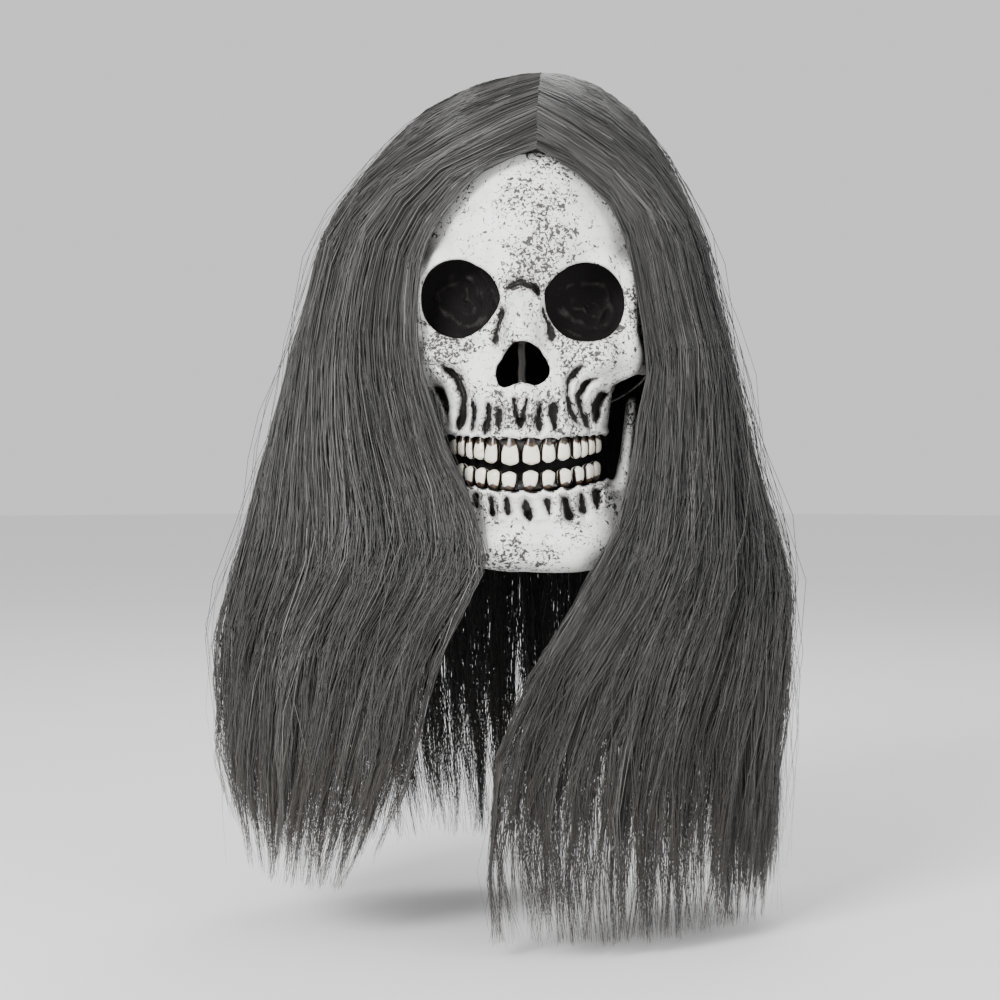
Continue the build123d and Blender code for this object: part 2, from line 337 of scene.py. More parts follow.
# swellings between the creases: points, half width, height
FACE_SWELLS = [
    ([(-52.0, -40.0), (-42.0, -43.5), (-36.8, -54.0), (-38.0, -71.0)], 3.4, 1.6),
    ([(-30.0, -44.0), (-29.8, -56.0), (-31.0, -72.0)], 2.6, 1.0),
    ([(-23.0, -50.0), (-21.6, -61.0), (-23.4, -73.0)], 2.8, 1.2),
    ([(-14.6, -51.0), (-14.6, -73.0)], 2.6, 1.2),
    ([(-7.6, -50.0), (-6.2, -73.0)], 3.0, 1.3),
    ([(7.2, -50.0), (5.2, -73.0)], 2.8, 1.3),
    ([(14.6, -50.0), (14.0, -73.0)], 3.0, 1.3),
    ([(22.0, -48.0), (22.0, -60.0), (25.0, -73.0)], 3.0, 1.3),
    ([(42.0, -39.5), (33.0, -41.0), (28.8, -47.0), (28.4, -56.0), (31.5, -70.0)], 2.6, 1.5),
    ([(47.0, -46.5), (40.0, -47.5), (36.0, -54.0), (37.5, -68.0)], 2.4, 1.5),
    ([(-1.5, 5.0), (-0.5, -8.0), (0.5, -19.0)], 4.6, 2.2),
]
# the creases between the roots of the lower teeth
JAW_CREASES = [
    ([(-27.5, -103.5), (-28.6, -116.0)], 1.8, 2.2),
    ([(-18.8, -104.5), (-20.0, -119.5)], 2.1, 3.0),
    ([(-10.0, -105.5), (-11.2, -118.5)], 2.1, 3.0),
    ([(-0.2, -106.0), (0.2, -121.0)], 2.4, 3.5),
    ([(11.7, -106.0), (11.6, -119.0)], 2.1, 3.0),
    ([(21.2, -105.0), (22.2, -121.5)], 2.6, 3.5),
    ([(30.8, -103.0), (30.2, -119.0)], 2.1, 2.8),
    ([(38.6, -101.0), (38.0, -116.0)], 1.8, 2.2),
]
JAW_SWELLS = [
    ([(-14.4, -105.0), (-15.4, -119.0)], 3.0, 1.2),
    ([(-5.2, -106.0), (-5.8, -119.0)], 3.2, 1.3),
    ([(5.8, -106.0), (6.0, -119.0)], 3.6, 1.4),
    ([(16.4, -105.5), (16.8, -119.0)], 3.0, 1.2),
    ([(26.2, -104.0), (26.2, -119.0)], 3.0, 1.2),
    ([(34.6, -102.0), (34.4, -117.0)], 3.0, 1.0),
]

# teeth across the front view: middle, width
UPPER_TEETH = [(-40.6, 6.0), (-34.9, 4.0), (-30.4, 3.8), (-24.2, 6.4), (-16.5, 7.6), (-6.3, 10.4),
               (5.6, 10.2), (15.7, 7.6), (24.5, 6.9), (31.2, 4.2), (35.6, 3.5), (39.4, 3.2),
               (43.2, 3.1)]
LOWER_TEETH = [(-36.4, 4.4), (-30.8, 5.2), (-24.0, 6.4), (-16.0, 7.5), (-7.0, 8.6), (4.8, 9.0),
               (15.1, 7.4), (25.2, 6.8), (33.4, 5.0), (38.6, 4.4), (42.6, 3.8)]

OPENINGS = (RIGHT_SOCKET, LEFT_SOCKET, NOSE_OPENING)
OPENING_REACH = 27.0
WALL = 2.5
LIP = 8.0
UPPER_SMILE = 0.0010
LOWER_SMILE = 0.0028


def gum_line(x):
    """Height of the upper gum edge across the face: it climbs towards the cheeks."""
    return -77.0 + UPPER_SMILE * x * x


def jaw_line(x):
    """Height of the lower gum edge across the face."""
    return -104.8 + LOWER_SMILE * x * x


def tooth_arches(x, teeth, rise):
    """How far the gum edge is arched up over each tooth of a row."""
    lift = np.zeros(np.shape(x), np.float32)
    for middle, width in teeth:
        across = np.clip(np.abs(x - middle) / (width * 0.56), 0, 1)
        lift = np.maximum(lift, rise * np.sqrt(1 - across ** 2))
    return lift - rise * 0.5


def relief(x, z, creases, swells):
    """Front-view relief: how far the surface is pushed in (+) or out (-), and its black wash with
    painted shade round the creases.
    """
    height = np.zeros(np.broadcast(x, z).shape, np.float32)
    wash_and_shade = np.zeros_like(height)
    wobble = lumps(x, 0.0, z, 2.1, 31) + 0.6 * lumps(x, 0.0, z, 0.9, 32)
    for number, (points, half, depth) in enumerate(creases):
        dist, along = near_curve(x, z, points)
        dist = np.maximum(dist + 0.9 * wobble, 0.0)
        fade = smooth_step(along / 0.35) * smooth_step((1.15 - along) / 0.3)
        swell = half * (1.05 + 0.30 * np.sin(along * 5.0 + number * 1.7)) * (0.35 + 0.65 * fade)
        height += depth * 1.3 * fade * np.exp(-(dist / (swell * 1.1)) ** 2)
        # the soft grey band round each crease is painted shade; its narrow dark core is the black wash
        soft = 0.44 * np.exp(-(dist / (swell * 2.1)) ** 2)
        wash_and_shade = np.maximum(wash_and_shade, fade * (soft + 0.7 * np.exp(-(dist / (swell * 0.72)) ** 2)))
    for points, half, depth in swells:
        dist, along = near_curve(x, z, points)
        fade = smooth_step(along / 0.2) * smooth_step((1.1 - along) / 0.2)
        height -= depth * fade * np.exp(-(dist / half) ** 2)
    return height, wash_and_shade


def lumps(x, y, z, size, seed):
    """Gentle hand-modelled unevenness, about one unit high."""
    r = np.random.default_rng(seed)
    total = 0.0
    for _ in range(5):
        way = r.normal(size=3)
        way *= 1.0 / np.linalg.norm(way) / size * r.uniform(0.7, 1.6)
        total = total + np.sin(x * way[0] + y * way[1] + z * way[2] + r.uniform(0, 6.28))
    return total / 5.0


def upper_jaw_ring(x, y, z):
    """The bow of the upper jaw, a little wider towards the cheeks."""
    slope = np.where(x < 0, 0.28, 0.14)
    widen = 46.0 / (46.0 + slope * np.clip(z + 80.0, 0.0, 40.0))
    return tube_ring(x * widen, y, (0, -50), (46.0, 53.0))


def nape_edge(y):
    """Height of the open lower edge: it drops towards the nape."""
    return -44.0 + (-76.0 + 44.0) / (104.0 - 20.0) * np.maximum(y - 22.0, 0.0)


def round_opening(centre):
    """The low and high corners of the block of clay round an opening of the face."""
    low = (centre[0] - OPENING_REACH, -123.0, centre[1] - OPENING_REACH)
    high = (centre[0] + OPENING_REACH, -40.0, centre[1] + OPENING_REACH)
    return low, high


def sculpt_skull():
    """The latex shell of the cranium and upper face."""
    fine = 0.9
    xs = np.arange(-84.0, 84.1, fine)
    ys = np.concatenate([np.arange(-122.0, -30.0, fine), np.arange(-30.0, 112.1, 2.2)])
    zs = np.arange(-84.0, 127.1, fine)
    clay = Sculpt(xs, ys, zs)

    def dome(x, y, z):
        low = z < 25.0
        share = 1.0 - 0.0011 * np.maximum(25.0 - z, 0.0)
        upper = ellipsoid(x, y, z, (0, 2, 25), (80, 104, 97))
        lower = tube_ring(x / share, (y - 2) / share, (0, 0), (80, 104)) * share
        return np.where(low, lower, upper)

    clay.add(dome, *EVERYWHERE)
    # below the cheeks only the nape flap stays
    clay.cut(lambda x, y, z: z - nape_edge(y) + 0 * x, *EVERYWHERE, k=1.0)
    # upper face: brow, cheeks, gum
    clay.add(lambda x, y, z: ellipsoid(x, y, z, (0, -42, -6), (66, 61, 50)),
             (-75, -122, -60), (75, 30, 50), k=8)
    clay.add(lambda x, y, z: np.maximum(upper_jaw_ring(x, y, z),
                                        np.maximum(-80.0 - z, z + 30.0)),
             (-58, -118, -84), (58, 12, -20), k=9)
    for s in (-1, 1):
        # temple hollow
        clay.bowl((-84, -90, -20), (84, 0, 50), 10, (s * 91, -46, 16), (20, 34, 26))
        # brow edge at the outer corner of the socket
        clay.rod((-78, -110, -5), (78, -55, 45), 14, (s * 46, -84, 20), (s * 58, -74, 12), 4, 5)
        # outer rim of the socket, cheekbone and its arch
        clay.rod((-78, -100, -40), (78, -50, 32), 9, (s * 58, -74, 14), (s * 57, -75, -18), 5, 7)
        clay.rod((-84, -112, -55), (84, -45, -5), 9,
                 (s * 42, -87, -30), (s * 57, -70, -31), 10, 9.5, (1, 1, 0.95))
        clay.rod((-84, -92, -56), (84, -25, -5), 6,
                 (s * 57, -70, -32), (s * 65, -48, -31), 9.5, 8.5, (0.75, 1, 1.15))
        clay.rod((-84, -70, -50), (84, 15, 0), 6,
                 (s * 67, -50, -30), (s * 73, -8, -24), 6, 5, (0.7, 1, 1.1))
        # hollow under the cheekbone, beside the gum
        clay.bowl((-84, -112, -84), (84, -20, -36), 6, (s * 68.5 - 2.5, -62, -60), (14, 34, 16))
        # hollow beside the nose
        clay.bowl((-50, -122, -60), (50, -90, -15), 10, (s * 25, -113, -38), (9, 9, 12))
        # dish of the socket
        clay.bowl((-70, -122, -35), (70, -70, 35), 5, (s * 34.5, -101, 0), (22.5, 11, 21.5))
    # bridge of the nose and the rim under it
    clay.rod((-30, -122, -40), (30, -80, 30), 10, (0, -97, 12), (0.4, -107, -20), 6, 8.5)
    clay.rod((-30, -122, -75), (30, -80, -35), 9, (0.4, -104, -50), (0.2, -103, -62), 5, 5)
    # modelled relief of the face
    x2 = clay.axes[0][:, None]
    z2 = clay.axes[2][None, :]
    height, wash_and_shade = relief(x2, z2, FACE_CREASES, FACE_SWELLS)
    # the gum ends in a scalloped lip over each tooth
    scallop = gum_line(x2) + tooth_arches(x2, UPPER_TEETH, 1.5)
    lip = np.exp(-((z2 - scallop - 2.6) / 1.5) ** 2) * (np.abs(x2) < 49)
    height -= 1.1 * lip
    uneven = 0.9 * lumps(x2, 0.0, z2, 1.6, 33)
    wash_and_shade = np.maximum(wash_and_shade, 0.95 * smooth_step((1.5 + uneven - (z2 - scallop)) / 1.8)
                       * (z2 > scallop - 6))
    cuts, x, y, z = clay.everywhere()
    front = smooth_step((-30.0 - y) / 18.0)
    clay.d += height[:, None, :] * front
    clay.d += 0.55 * lumps(x, y, z, 9.0, 11) * front + 0.25 * lumps(x, y, z, 3.6, 12) * front
    trim = scallop[:, None, :] - z
    solid = np.where(y < -46.0, np.maximum(clay.d, trim), clay.d).astype(np.float32)
    # hollow it to a wall, then cut the openings through
    clay.d = (np.abs(clay.d + WALL / 2) - WALL / 2).astype(np.float32)
    clay.d = np.where(y < -46.0, soft_cut(clay.d, -trim, 1.6), clay.d).astype(np.float32)
    # the neck opening: nothing closes the head from below
    clay.cut(lambda x, y, z: np.maximum(
        np.maximum(tube_ring(x, y - 2.0, (0, 0), (76.8, 100.8)), np.abs(z - nape_edge(y)) - 7.0),
        np.maximum(1.2 - upper_jaw_ring(x, y, z), -(y + 66.0))), *EVERYWHERE, k=1.5)
    for centre, outline in OPENINGS:
        # the latex turns inwards round each opening
        cuts, x, y, z = clay.window(*round_opening(centre))
        rim = np.abs(drawn_hole(x, z, centre, outline) - 1.0) - 1.2
        deep = np.maximum(solid[cuts], -solid[cuts] - LIP)
        clay.d[cuts] = soft_union(clay.d[cuts], np.maximum(rim + 0 * y, deep), 1.5)
    for centre, outline in OPENINGS:
        clay.cut(lambda x, y, z: drawn_hole(x, z, centre, outline) + 0 * y,
                 *round_opening(centre), k=1.6)
    clay.cut(lambda x, y, z: np.maximum(z + 50.0 + 0.3 * (y + 50.0), -(y + 50.0)) + 0 * x,
             (-70, -60, -84), (70, 20, -36), k=1.5)
    # the partition of the nose
    clay.add(lambda x, y, z: np.maximum(
        np.abs(x - 0.4 - 0.25 * np.sin(z * 0.5)) - 1.9 - 0.5 * np.exp(-((z + 50) / 5.0) ** 2),
        np.maximum(np.abs(y + 98.0) - 6.5, np.abs(z + 36.5) - 15.0)),
        (-6, -112, -56), (6, -86, -18), k=1.5)
    # the finished surface, and how much black wash and painted shade each spot of it holds
    points, quads = clay.skin()
    points = clay.settle(points, quads)
    dark = wash_and_shade_amount(clay, solid, points, wash_and_shade, 4)
    depth = -clay.sample(points, solid)
    front = points[:, 1] < -55.0
    for centre, outline in OPENINGS:
        past = drawn_hole(points[:, 0], points[:, 2], centre, outline)
        edge = smooth_step((depth - 0.7) / 1.2) * smooth_step((1.0 - past) / 0.8) * front
        halo = 0.30 * smooth_step((1.6 - past) / 1.6) * front
        dark = np.maximum(dark, np.maximum(edge, halo))
    in_nose = drawn_hole(points[:, 0], points[:, 2], *NOSE_OPENING) < -0.6
    dark = np.maximum(dark, (in_nose & front) * 0.92)
    return points, quads, dark, inner_face(clay, solid, points)


def jaw_lean(points):
    """The jaw sits a little towards the wearer's left, more so at the chin."""
    moved = points.copy()
    moved[:, 0] += 1.5 + 4.5 * smooth_step((-95.0 - points[:, 2]) / 40.0)
    return moved


def wash_and_shade_amount(clay, solid, points, wash_and_shade, size):
    """How much dark wash and painted shade each vertex holds: 0 on open bone, 1 deep in a crease."""
    filled = box_blur(box_blur((solid < 0).astype(np.float32), size), size)
    occlusion = clay.sample(points, filled)
    x, z = points[:, 0], points[:, 2]
    i = np.clip(np.searchsorted(clay.axes[0], x), 0, len(clay.axes[0]) - 1)
    k = np.clip(np.searchsorted(clay.axes[2], z), 0, len(clay.axes[2]) - 1)
    drawn = wash_and_shade[i, k] * smooth_step((-34.0 - points[:, 1]) / 16.0)
    # painted shade: darker where the surface is crowded in, in creases and hollows
    hollow = smooth_step((occlusion - 0.56) / 0.2) * (points[:, 1] < -38.0)
    return np.clip(np.maximum(drawn, hollow * 0.8), 0, 1)


def inner_face(clay, solid, points):
    """1 on the inside of the latex, 0 on its painted outside; the inside is coloured near-black as
    painted shade inside the mask.
    """
    return smooth_step((-clay.sample(points, solid) - WALL * 0.45) / (WALL * 0.35))


def sculpt_jaw():
    """The latex shell of the lower jaw with its two uprights."""
    fine = 0.8
    clay = Sculpt(np.arange(-66.0, 66.1, fine), np.arange(-114.0, 0.1, fine),
                  np.arange(-160.0, -44.0, fine))
    # the arch under the teeth, widening to the jaw's own bow lower down and further back
    clay.add(lambda x, y, z: np.maximum(tube_ring(x, y, (0, -50), (45.0, 53)),
                                        np.maximum(-118.0 - z, z + 94.0)), *EVERYWHERE, k=6)
    clay.add(lambda x, y, z: np.maximum(tube_ring(x, y, (0, -34), (53, 66)),
                                        np.maximum(-131.0 - z, z + 108.0)), *EVERYWHERE, k=14)
    clay.add(lambda x, y, z: ellipsoid(x, y, z, (0, -66, -132), (44, 35, 18.5)), *EVERYWHERE, k=10)
    clay.rod(*EVERYWHERE, 8, (-20, -82, -137), (22, -82, -139), 14, 13, (1.1, 1.1, 0.9))
    for s in (-1, 1):
        clay.rod(*EVERYWHERE, 9, (s * 34, -74, -133), (s * 50, -42, -117), 11, 8, (0.9, 1, 1.2))
        clay.bowl(*EVERYWHERE, 10, (s * 40, -100, -116), (14, 12, 9))
    clay.bowl(*EVERYWHERE, 6, (-4, -92, -155), (5, 12, 6))
    x2 = clay.axes[0][:, None]
    z2 = clay.axes[2][None, :]
    height, wash_and_shade = relief(x2, z2, JAW_CREASES, JAW_SWELLS)
    scallop = jaw_line(x2) - tooth_arches(x2, LOWER_TEETH, 1.4)
    height -= 1.1 * np.exp(-((z2 - scallop + 2.4) / 1.5) ** 2) * (np.abs(x2) < 47)
    uneven = 0.9 * lumps(x2, 0.0, z2, 1.6, 34)
    wash_and_shade = np.maximum(wash_and_shade, 0.95 * smooth_step((1.4 + uneven - (scallop - z2)) / 1.8)
                       * (z2 < scallop + 6) * (np.abs(x2) < 47))
    cuts, x, y, z = clay.everywhere()
    front = smooth_step((-44.0 - y) / 16.0)
    clay.d += height[:, None, :] * front
    clay.d += 0.6 * lumps(x, y, z, 8.0, 21) + 0.3 * lumps(x, y, z, 3.4, 22)
    top = z - scallop[:, None, :]
    solid = np.maximum(clay.d, top).astype(np.float32)
    clay.d = (np.abs(clay.d + WALL / 2) - WALL / 2).astype(np.float32)
    clay.d = soft_cut(clay.d, -top, 1.6).astype(np.float32)
    # open behind: the lower edge climbs from the chin to the corner of the jaw
    climb = (-112.0 + 152.0) / (62.0 - 14.0)
    clay.cut(lambda x, y, z: (z + 152.0 - climb * (y + 62.0)) * 0.77 + 0 * x, *EVERYWHERE, k=1.5)
    clay.cut(lambda x, y, z: -(y + 40.0) + 0 * x + 0 * z, *EVERYWHERE, k=1.5)
    for s in (-1, 1):
        clay.rod(*EVERYWHERE, 4, (s * 50, -48, -115), (s * 55.5, -36, -96), 8, 8, (0.5, 1.3, 1))
        clay.rod(*EVERYWHERE, 3,
                 (s * 55.5, -36, -98), (s * 59.5, -29, -60), 7.5, 7, (0.52, 1.7, 1))
    points, quads = clay.skin()
    points = clay.settle(points, quads)
    dark = wash_and_shade_amount(clay, solid, points, wash_and_shade, 4)
    return jaw_lean(points), quads, dark, inner_face(clay, solid, points)


def plain_mesh(name, points, faces, smooth=True):
    """A mesh object from millimetre points."""
    mesh = bpy.data.meshes.new(name)
    faces = np.asarray(faces)
    mesh.vertices.add(len(points))
    mesh.vertices.foreach_set("co", (np.asarray(points) * MM).astype(np.float32).ravel())
    sides = faces.shape[1]
    mesh.loops.add(faces.size)
    mesh.loops.foreach_set("vertex_index", faces.astype(np.int32).ravel())
    mesh.polygons.add(len(faces))
    mesh.polygons.foreach_set("loop_start", np.arange(0, faces.size, sides, dtype=np.int32))
    mesh.polygons.foreach_set("use_smooth", np.full(len(faces), smooth))
    mesh.update(calc_edges=True)
    mesh.validate()
    return new_object(name, mesh)


def new_object(name, data):
    obj = bpy.data.objects.new(name, data)
    bpy.context.collection.objects.link(obj)
    return obj


def vertex_value(obj, name, values):
    layer = obj.data.attributes.new(name, "FLOAT", "POINT")
    layer.data.foreach_set("value", np.asarray(values, np.float32))


def lighten(obj, triangles):
    """Drops faces where the surface is flat until it is within a triangle budget."""
    now = sum(len(p.vertices) - 2 for p in obj.data.polygons)
    if now <= triangles:
        return
    cutter = obj.modifiers.new("lighten", "DECIMATE")
    cutter.ratio = triangles / now
    settled = obj.evaluated_get(bpy.context.evaluated_depsgraph_get())
    mesh = bpy.data.meshes.new_from_object(settled)
    obj.modifiers.clear()
    obj.data = mesh
    mesh.shade_smooth()


# ------------------------------------------------------------------ teeth
def arch_point(x, half_width, half_depth, mid_y):
    """Where the dental arch passes at x, and which way it faces there."""
    share = np.clip(x / half_width, -0.985, 0.985)
    y = mid_y - half_depth * math.sqrt(1 - share * share)
    out = np.array([share / half_width, (y - mid_y) / half_depth ** 2])
    return y, out / np.linalg.norm(out)


def tooth(middle, width, root_z, tip_z, arch, rng):
    """One tooth: rings of points from the root, hidden in the gum, to the biting edge."""
    y, out = arch_point(middle, *arch)
    along = np.array([-out[1], out[0]])
    real = min(width / max(abs(along[0]), 0.35), 10.4)
    rings, sides = 18, 20
    t = np.linspace(0, 1, rings)
    neck = 0.50 + 0.50 * smooth_step(t / 0.66)
    edge = np.sqrt(np.clip(1 - np.clip((t - 0.86) / 0.14, 0, 1) ** 2 * 0.86, 0.02, 1))
    half_w = real * 0.5 * neck * (0.94 + 0.06 * t) * edge
    half_d = 3.3 * (1.0 - 0.35 * t ** 2) * edge
    bulge = 1.3 * np.sin(np.clip(t, 0, 1) * math.pi * 0.85)
    angle = np.linspace(0, 2 * math.pi, sides, endpoint=False)
    c, s = np.cos(angle), np.sin(angle)
    square = (np.abs(c) ** 3.0 + np.abs(s) ** 3.0) ** (-1 / 3.0)
    turn = rng.normal(0, 0.045)
    points, tooth_paint_and_gap_shade = [], []
    for k in range(rings):
        across = half_w[k] * c * square
        deep = half_d[k] * s * square
        z = root_z + (tip_z - root_z) * t[k]
        tilt = turn * (z - root_z)
        edge_wave = 0.25 * math.copysign(1, tip_z - root_z) * np.cos(across * 1.1) * t[k] ** 6
        base = np.array([middle, y]) + out * (bulge[k] - half_d[0] - 1.9 + 1.7 * t[k])
        px = base[0] + along[0] * (across + tilt) + out[0] * deep
        py = base[1] + along[1] * (across + tilt) + out[1] * deep
        points.append(np.stack([px, py, z + edge_wave], 1))
        flank = np.clip(np.abs(c) * square, 0, 1)
        # brown paint at the root; the black on the flanks is painted shade between the teeth
        root = 1 - smooth_step((t[k] - 0.24 + 0.10 * flank) / 0.30)
        tooth_paint_and_gap_shade.append(np.maximum(1.5 * root, 1.7 * smooth_step((flank - 0.86) / 0.14) * (s > -0.3)))
    points, tooth_paint_and_gap_shade = np.concatenate(points), np.concatenate(tooth_paint_and_gap_shade)
    faces = []
    for k in range(rings - 1):
        for n in range(sides):
            m = (n + 1) % sides
            faces.append((k * sides + n, k * sides + m, (k + 1) * sides + m, (k + 1) * sides + n))
    ends = []
    for ring, flip in ((0, True), (rings - 1, False)):
        middle_point = points[ring * sides:(ring + 1) * sides].mean(0)
        points = np.vstack([points, middle_point])
        tooth_paint_and_gap_shade = np.append(tooth_paint_and_gap_shade, tooth_paint_and_gap_shade[ring * sides])
        hub = len(points) - 1
        for n in range(0, sides, 2):
            a, b, c2 = (ring * sides + (n + q) % sides for q in range(3))
            ends.append((hub, c2, b, a) if flip else (hub, a, b, c2))
    return points, faces + ends, tooth_paint_and_gap_shade


def tooth_row(name, teeth, root_line, tip_line, arch, band, seed):
    """All the teeth of one jaw and the black band behind them, as one mesh."""
    rng = np.random.default_rng(seed)
    points, faces, tooth_paint_and_gap_shade, shades = [], [], [], []
    count = 0
    for middle, width in teeth:
        p, f, tone = tooth(middle, width, root_line(middle), tip_line(middle) + rng.normal(0, 0.35),
                           arch, rng)
        f = np.array(f) + count
        points.append(p)
        faces.append(f)
        tooth_paint_and_gap_shade.append(tone)
        shades.append(np.full(len(p), rng.uniform(0, 1)))
        count += len(p)
    # the band is a closed strip following the arch inside the teeth
    steps = 48
    xs = np.linspace(teeth[0][0] - 1.5, teeth[-1][0] + 1.0, steps)
    strip = []
    for x in xs:
        y, out = arch_point(x, *arch)
        for inward, z in ((4.6, band[0]), (4.6, band[1]), (6.4, band[1]), (6.4, band[0])):
            strip.append((x - out[0] * inward, y - out[1] * inward, z(x)))
    points.append(np.array(strip))
    links = []
    for k in range(steps - 1):
        for n in range(4):
            m = (n + 1) % 4
            links.append((k * 4 + n, k * 4 + m, (k + 1) * 4 + m, (k + 1) * 4 + n))
    links.append((0, 3, 2, 1))
    links.append(tuple((steps - 1) * 4 + n for n in range(4)))
    faces.append(np.array(links) + count)
    tooth_paint_and_gap_shade.append(np.full(len(strip), 2.0))
    shades.append(np.zeros(len(strip)))
    row = plain_mesh(name, np.vstack(points), np.vstack(faces))
    vertex_value(row, "paint", np.concatenate(tooth_paint_and_gap_shade))
    vertex_value(row, "shade", np.concatenate(shades))
    return row


# ------------------------------------------------------------------ gauze
CLOTH_GROW = 1.07
CLOTH_THICK = 0.5
CLOTH_SLOPE = 0.40
PUSHED_IN = 10.0


def polar_sheet(name, middle, outline, depth_at, grow, thick, rings=26, sides=84):
    """A thin cup of cloth behind an opening: closed, front and back faces alike."""
    angles = np.linspace(0, 2 * math.pi, sides, endpoint=False)
    edge = outline_radius(np.degrees(angles) % 360, outline) * grow
    shares = np.linspace(0.0, 1.0, rings + 1)[1:]
    layers = []
    for side in (0, 1):
        x = middle[0] + shares[:, None] * edge * np.cos(angles)
        z = middle[1] + shares[:, None] * edge * np.sin(angles)
        y = depth_at(x, z, np.broadcast_to(shares[:, None], x.shape), angles) + side * thick
        layers.append(np.stack([x, y, z], 2).reshape(-1, 3))
        centre = depth_at(np.array([middle[0]]), np.array([middle[1]]), np.zeros(1), angles[:1])
        layers.append(np.array([[middle[0], float(centre[0]) + side * thick, middle[1]]]))
    points = np.vstack(layers)
    half = rings * sides + 1
    faces = []
    for k in range(rings - 1):
        for n in range(sides):
            m = (n + 1) % sides
            a, b, c, d = k * sides + n, k * sides + m, (k + 1) * sides + m, (k + 1) * sides + n
            faces.append((a, b, c, d))
            faces.append((half + d, half + c, half + b, half + a))
    rim = (rings - 1) * sides
    for n in range(sides):
        m = (n + 1) % sides
        faces.append((rim + n, rim + m, half + rim + m, half + rim + n))
    for n in range(0, sides, 2):
        a, b, c = n, (n + 1) % sides, (n + 2) % sides
        faces.append((half - 1, a, b, c))
        faces.append((2 * half - 1, half + c, half + b, half + a))
    return right_way_out(plain_mesh(name, points, faces))


def right_way_out(obj):
    """Recalculates the normals of a closed mesh so that all face outwards."""
    work = bmesh.new()
    work.from_mesh(obj.data)
    bmesh.ops.recalc_face_normals(work, faces=work.faces)
    work.to_mesh(obj.data)
    work.free()
    obj.data.shade_smooth()
    return obj


def eye_gauze(name, socket, seed):
    """The black gauze glued behind an eye opening, pushed in and wrinkled round its middle."""
    (cx, cz), outline = socket
    rng = np.random.default_rng(seed)
    phase = rng.uniform(0, 6.28, 4)
    side = 1 if cx > 0 else -1

    def wrinkles(share, angle):
        bend = 1.8 * np.sin(angle * 2 + phase[0]) + 1.1 * np.sin(angle * 3 + phase[3]) * side
        rings = 0.7 * np.sin(share * 19.0 + bend) * (0.55 + 0.45 * np.sin(angle + phase[1]))
        radial = 0.5 * np.sin(7 * angle + phase[1] + 3 * share) * share
        fold = 0.9 * np.exp(-((share - 0.55 - 0.08 * np.sin(3 * angle + phase[2])) / 0.06) ** 2)
        return fold - (rings + radial) * smooth_step((1 - share) / 0.25)

    def depth_at(x, z, share, angle):
        slant = -84.5 + CLOTH_SLOPE * (np.abs(x) - 13.0)
        cup = PUSHED_IN * np.cos(share * math.pi / 2) ** 0.8
        return slant + cup - wrinkles(share, angle)

    cloth = polar_sheet(name, (cx, cz), outline, depth_at, CLOTH_GROW, CLOTH_THICK)
    spots = np.array([v.co for v in cloth.data.vertices]) / MM
    angle = np.arctan2(spots[:, 2] - cz, spots[:, 0] - cx)
    share = np.hypot(spots[:, 0] - cx, spots[:, 2] - cz) / 23.0
    # the height of the folds, read by the gauze finish for its painted highlight
    vertex_value(cloth, "fold", wrinkles(share, angle))
    return cloth


def mouth_cloth(name):
    """The black gauze that closes the mouth behind the teeth, from gum to gum."""
    columns, rows = 90, 22
    points = []
    for side in (0, 1):
        for r in range(rows):
            t = r / (rows - 1)
            for c in range(columns):
                x = -38.5 + 78.0 * c / (columns - 1)
                y, out = arch_point(x, 41.0, 45.5, -51.0)
                z = -75.5 - 33.0 * t + 0.0016 * x * x
                sag = 2.6 * math.sin(math.pi * t) + 0.35 * math.sin(0.9 * x + 3 * t)
                sag += 0.3 * math.sin(14 * t + 0.2 * x) + 0.6 * side
                points.append((x - out[0] * sag, y - out[1] * sag, z))
    half = rows * columns
    faces = []
    for r in range(rows - 1):
        for c in range(columns - 1):
            a = r * columns + c
            quad = (a, a + 1, a + columns + 1, a + columns)
            faces.append(quad)
            faces.append(tuple(half + v for v in reversed(quad)))
    rim = [c for c in range(columns)]
    rim += [r * columns + columns - 1 for r in range(1, rows)]
    rim += [(rows - 1) * columns + c for c in range(columns - 2, -1, -1)]
    rim += [r * columns for r in range(rows - 2, 0, -1)]
    for a, b in zip(rim, rim[1:] + rim[:1]):
        faces.append((b, a, half + a, half + b))
    return right_way_out(plain_mesh(name, np.array(points), faces))


# ------------------------------------------------------------------ hair
# outermost reach of the hair at each height: height, towards -X, towards +X
HAIR_REACH = np.array([
    (20, 127, 108), (-23, 140, 119), (-55, 148, 126), (-94, 159, 134), (-129, 168, 146),
    (-162, 179, 154), (-200, 186, 154), (-260, 186, 151), (-360, 166, 142)])
# the innermost layer below the crown: height, half width, half depth
HAIR_LINING = np.array([
    (20, 86, 109), (-20, 89, 109), (-60, 97, 107), (-110, 108, 106), (-150, 126, 106),
    (-200, 138, 106), (-360, 130, 106)])
# where the front edges fall: height, place along X
RIGHT_EDGE = np.array([
    (84, 8), (76, -16), (56, -38), (38, -50), (23, -57), (-10, -59.5), (-37, -56.5), (-50, -52),
    (-63, -48), (-75, -43), (-88, -40), (-101, -32), (-114, -27), (-126, -24.5), (-145, -19),
    (-165, -29), (-194, -46), (-252, -59), (-310, -80), (-360, -100)])
LEFT_EDGE = np.array([
    (84, 8), (79, 20), (56, 47.5), (36, 57), (17, 61.5), (0, 64.5), (-18, 67.5), (-32, 71.5),
    (-50, 68), (-62, 65), (-90, 62), (-101, 59.5), (-114, 56.5), (-126, 53), (-145, 45.5),
    (-168, 32), (-191, 17), (-210, 5), (-255, -14), (-300, -16), (-360, -10)])
DOME_Z = 20.0
DOME_RISE = (106.0, 117.5)
FRONT_START = 0.625
PARTING_SHARE = 0.60
DROP_STEP = 180.0
STRAY_FROM = 0.95
HAIR_STEPS = 17


def table(rows, z, column):
    order = np.argsort(rows[:, 0])
    return np.interp(z, rows[order, 0], rows[order, column])


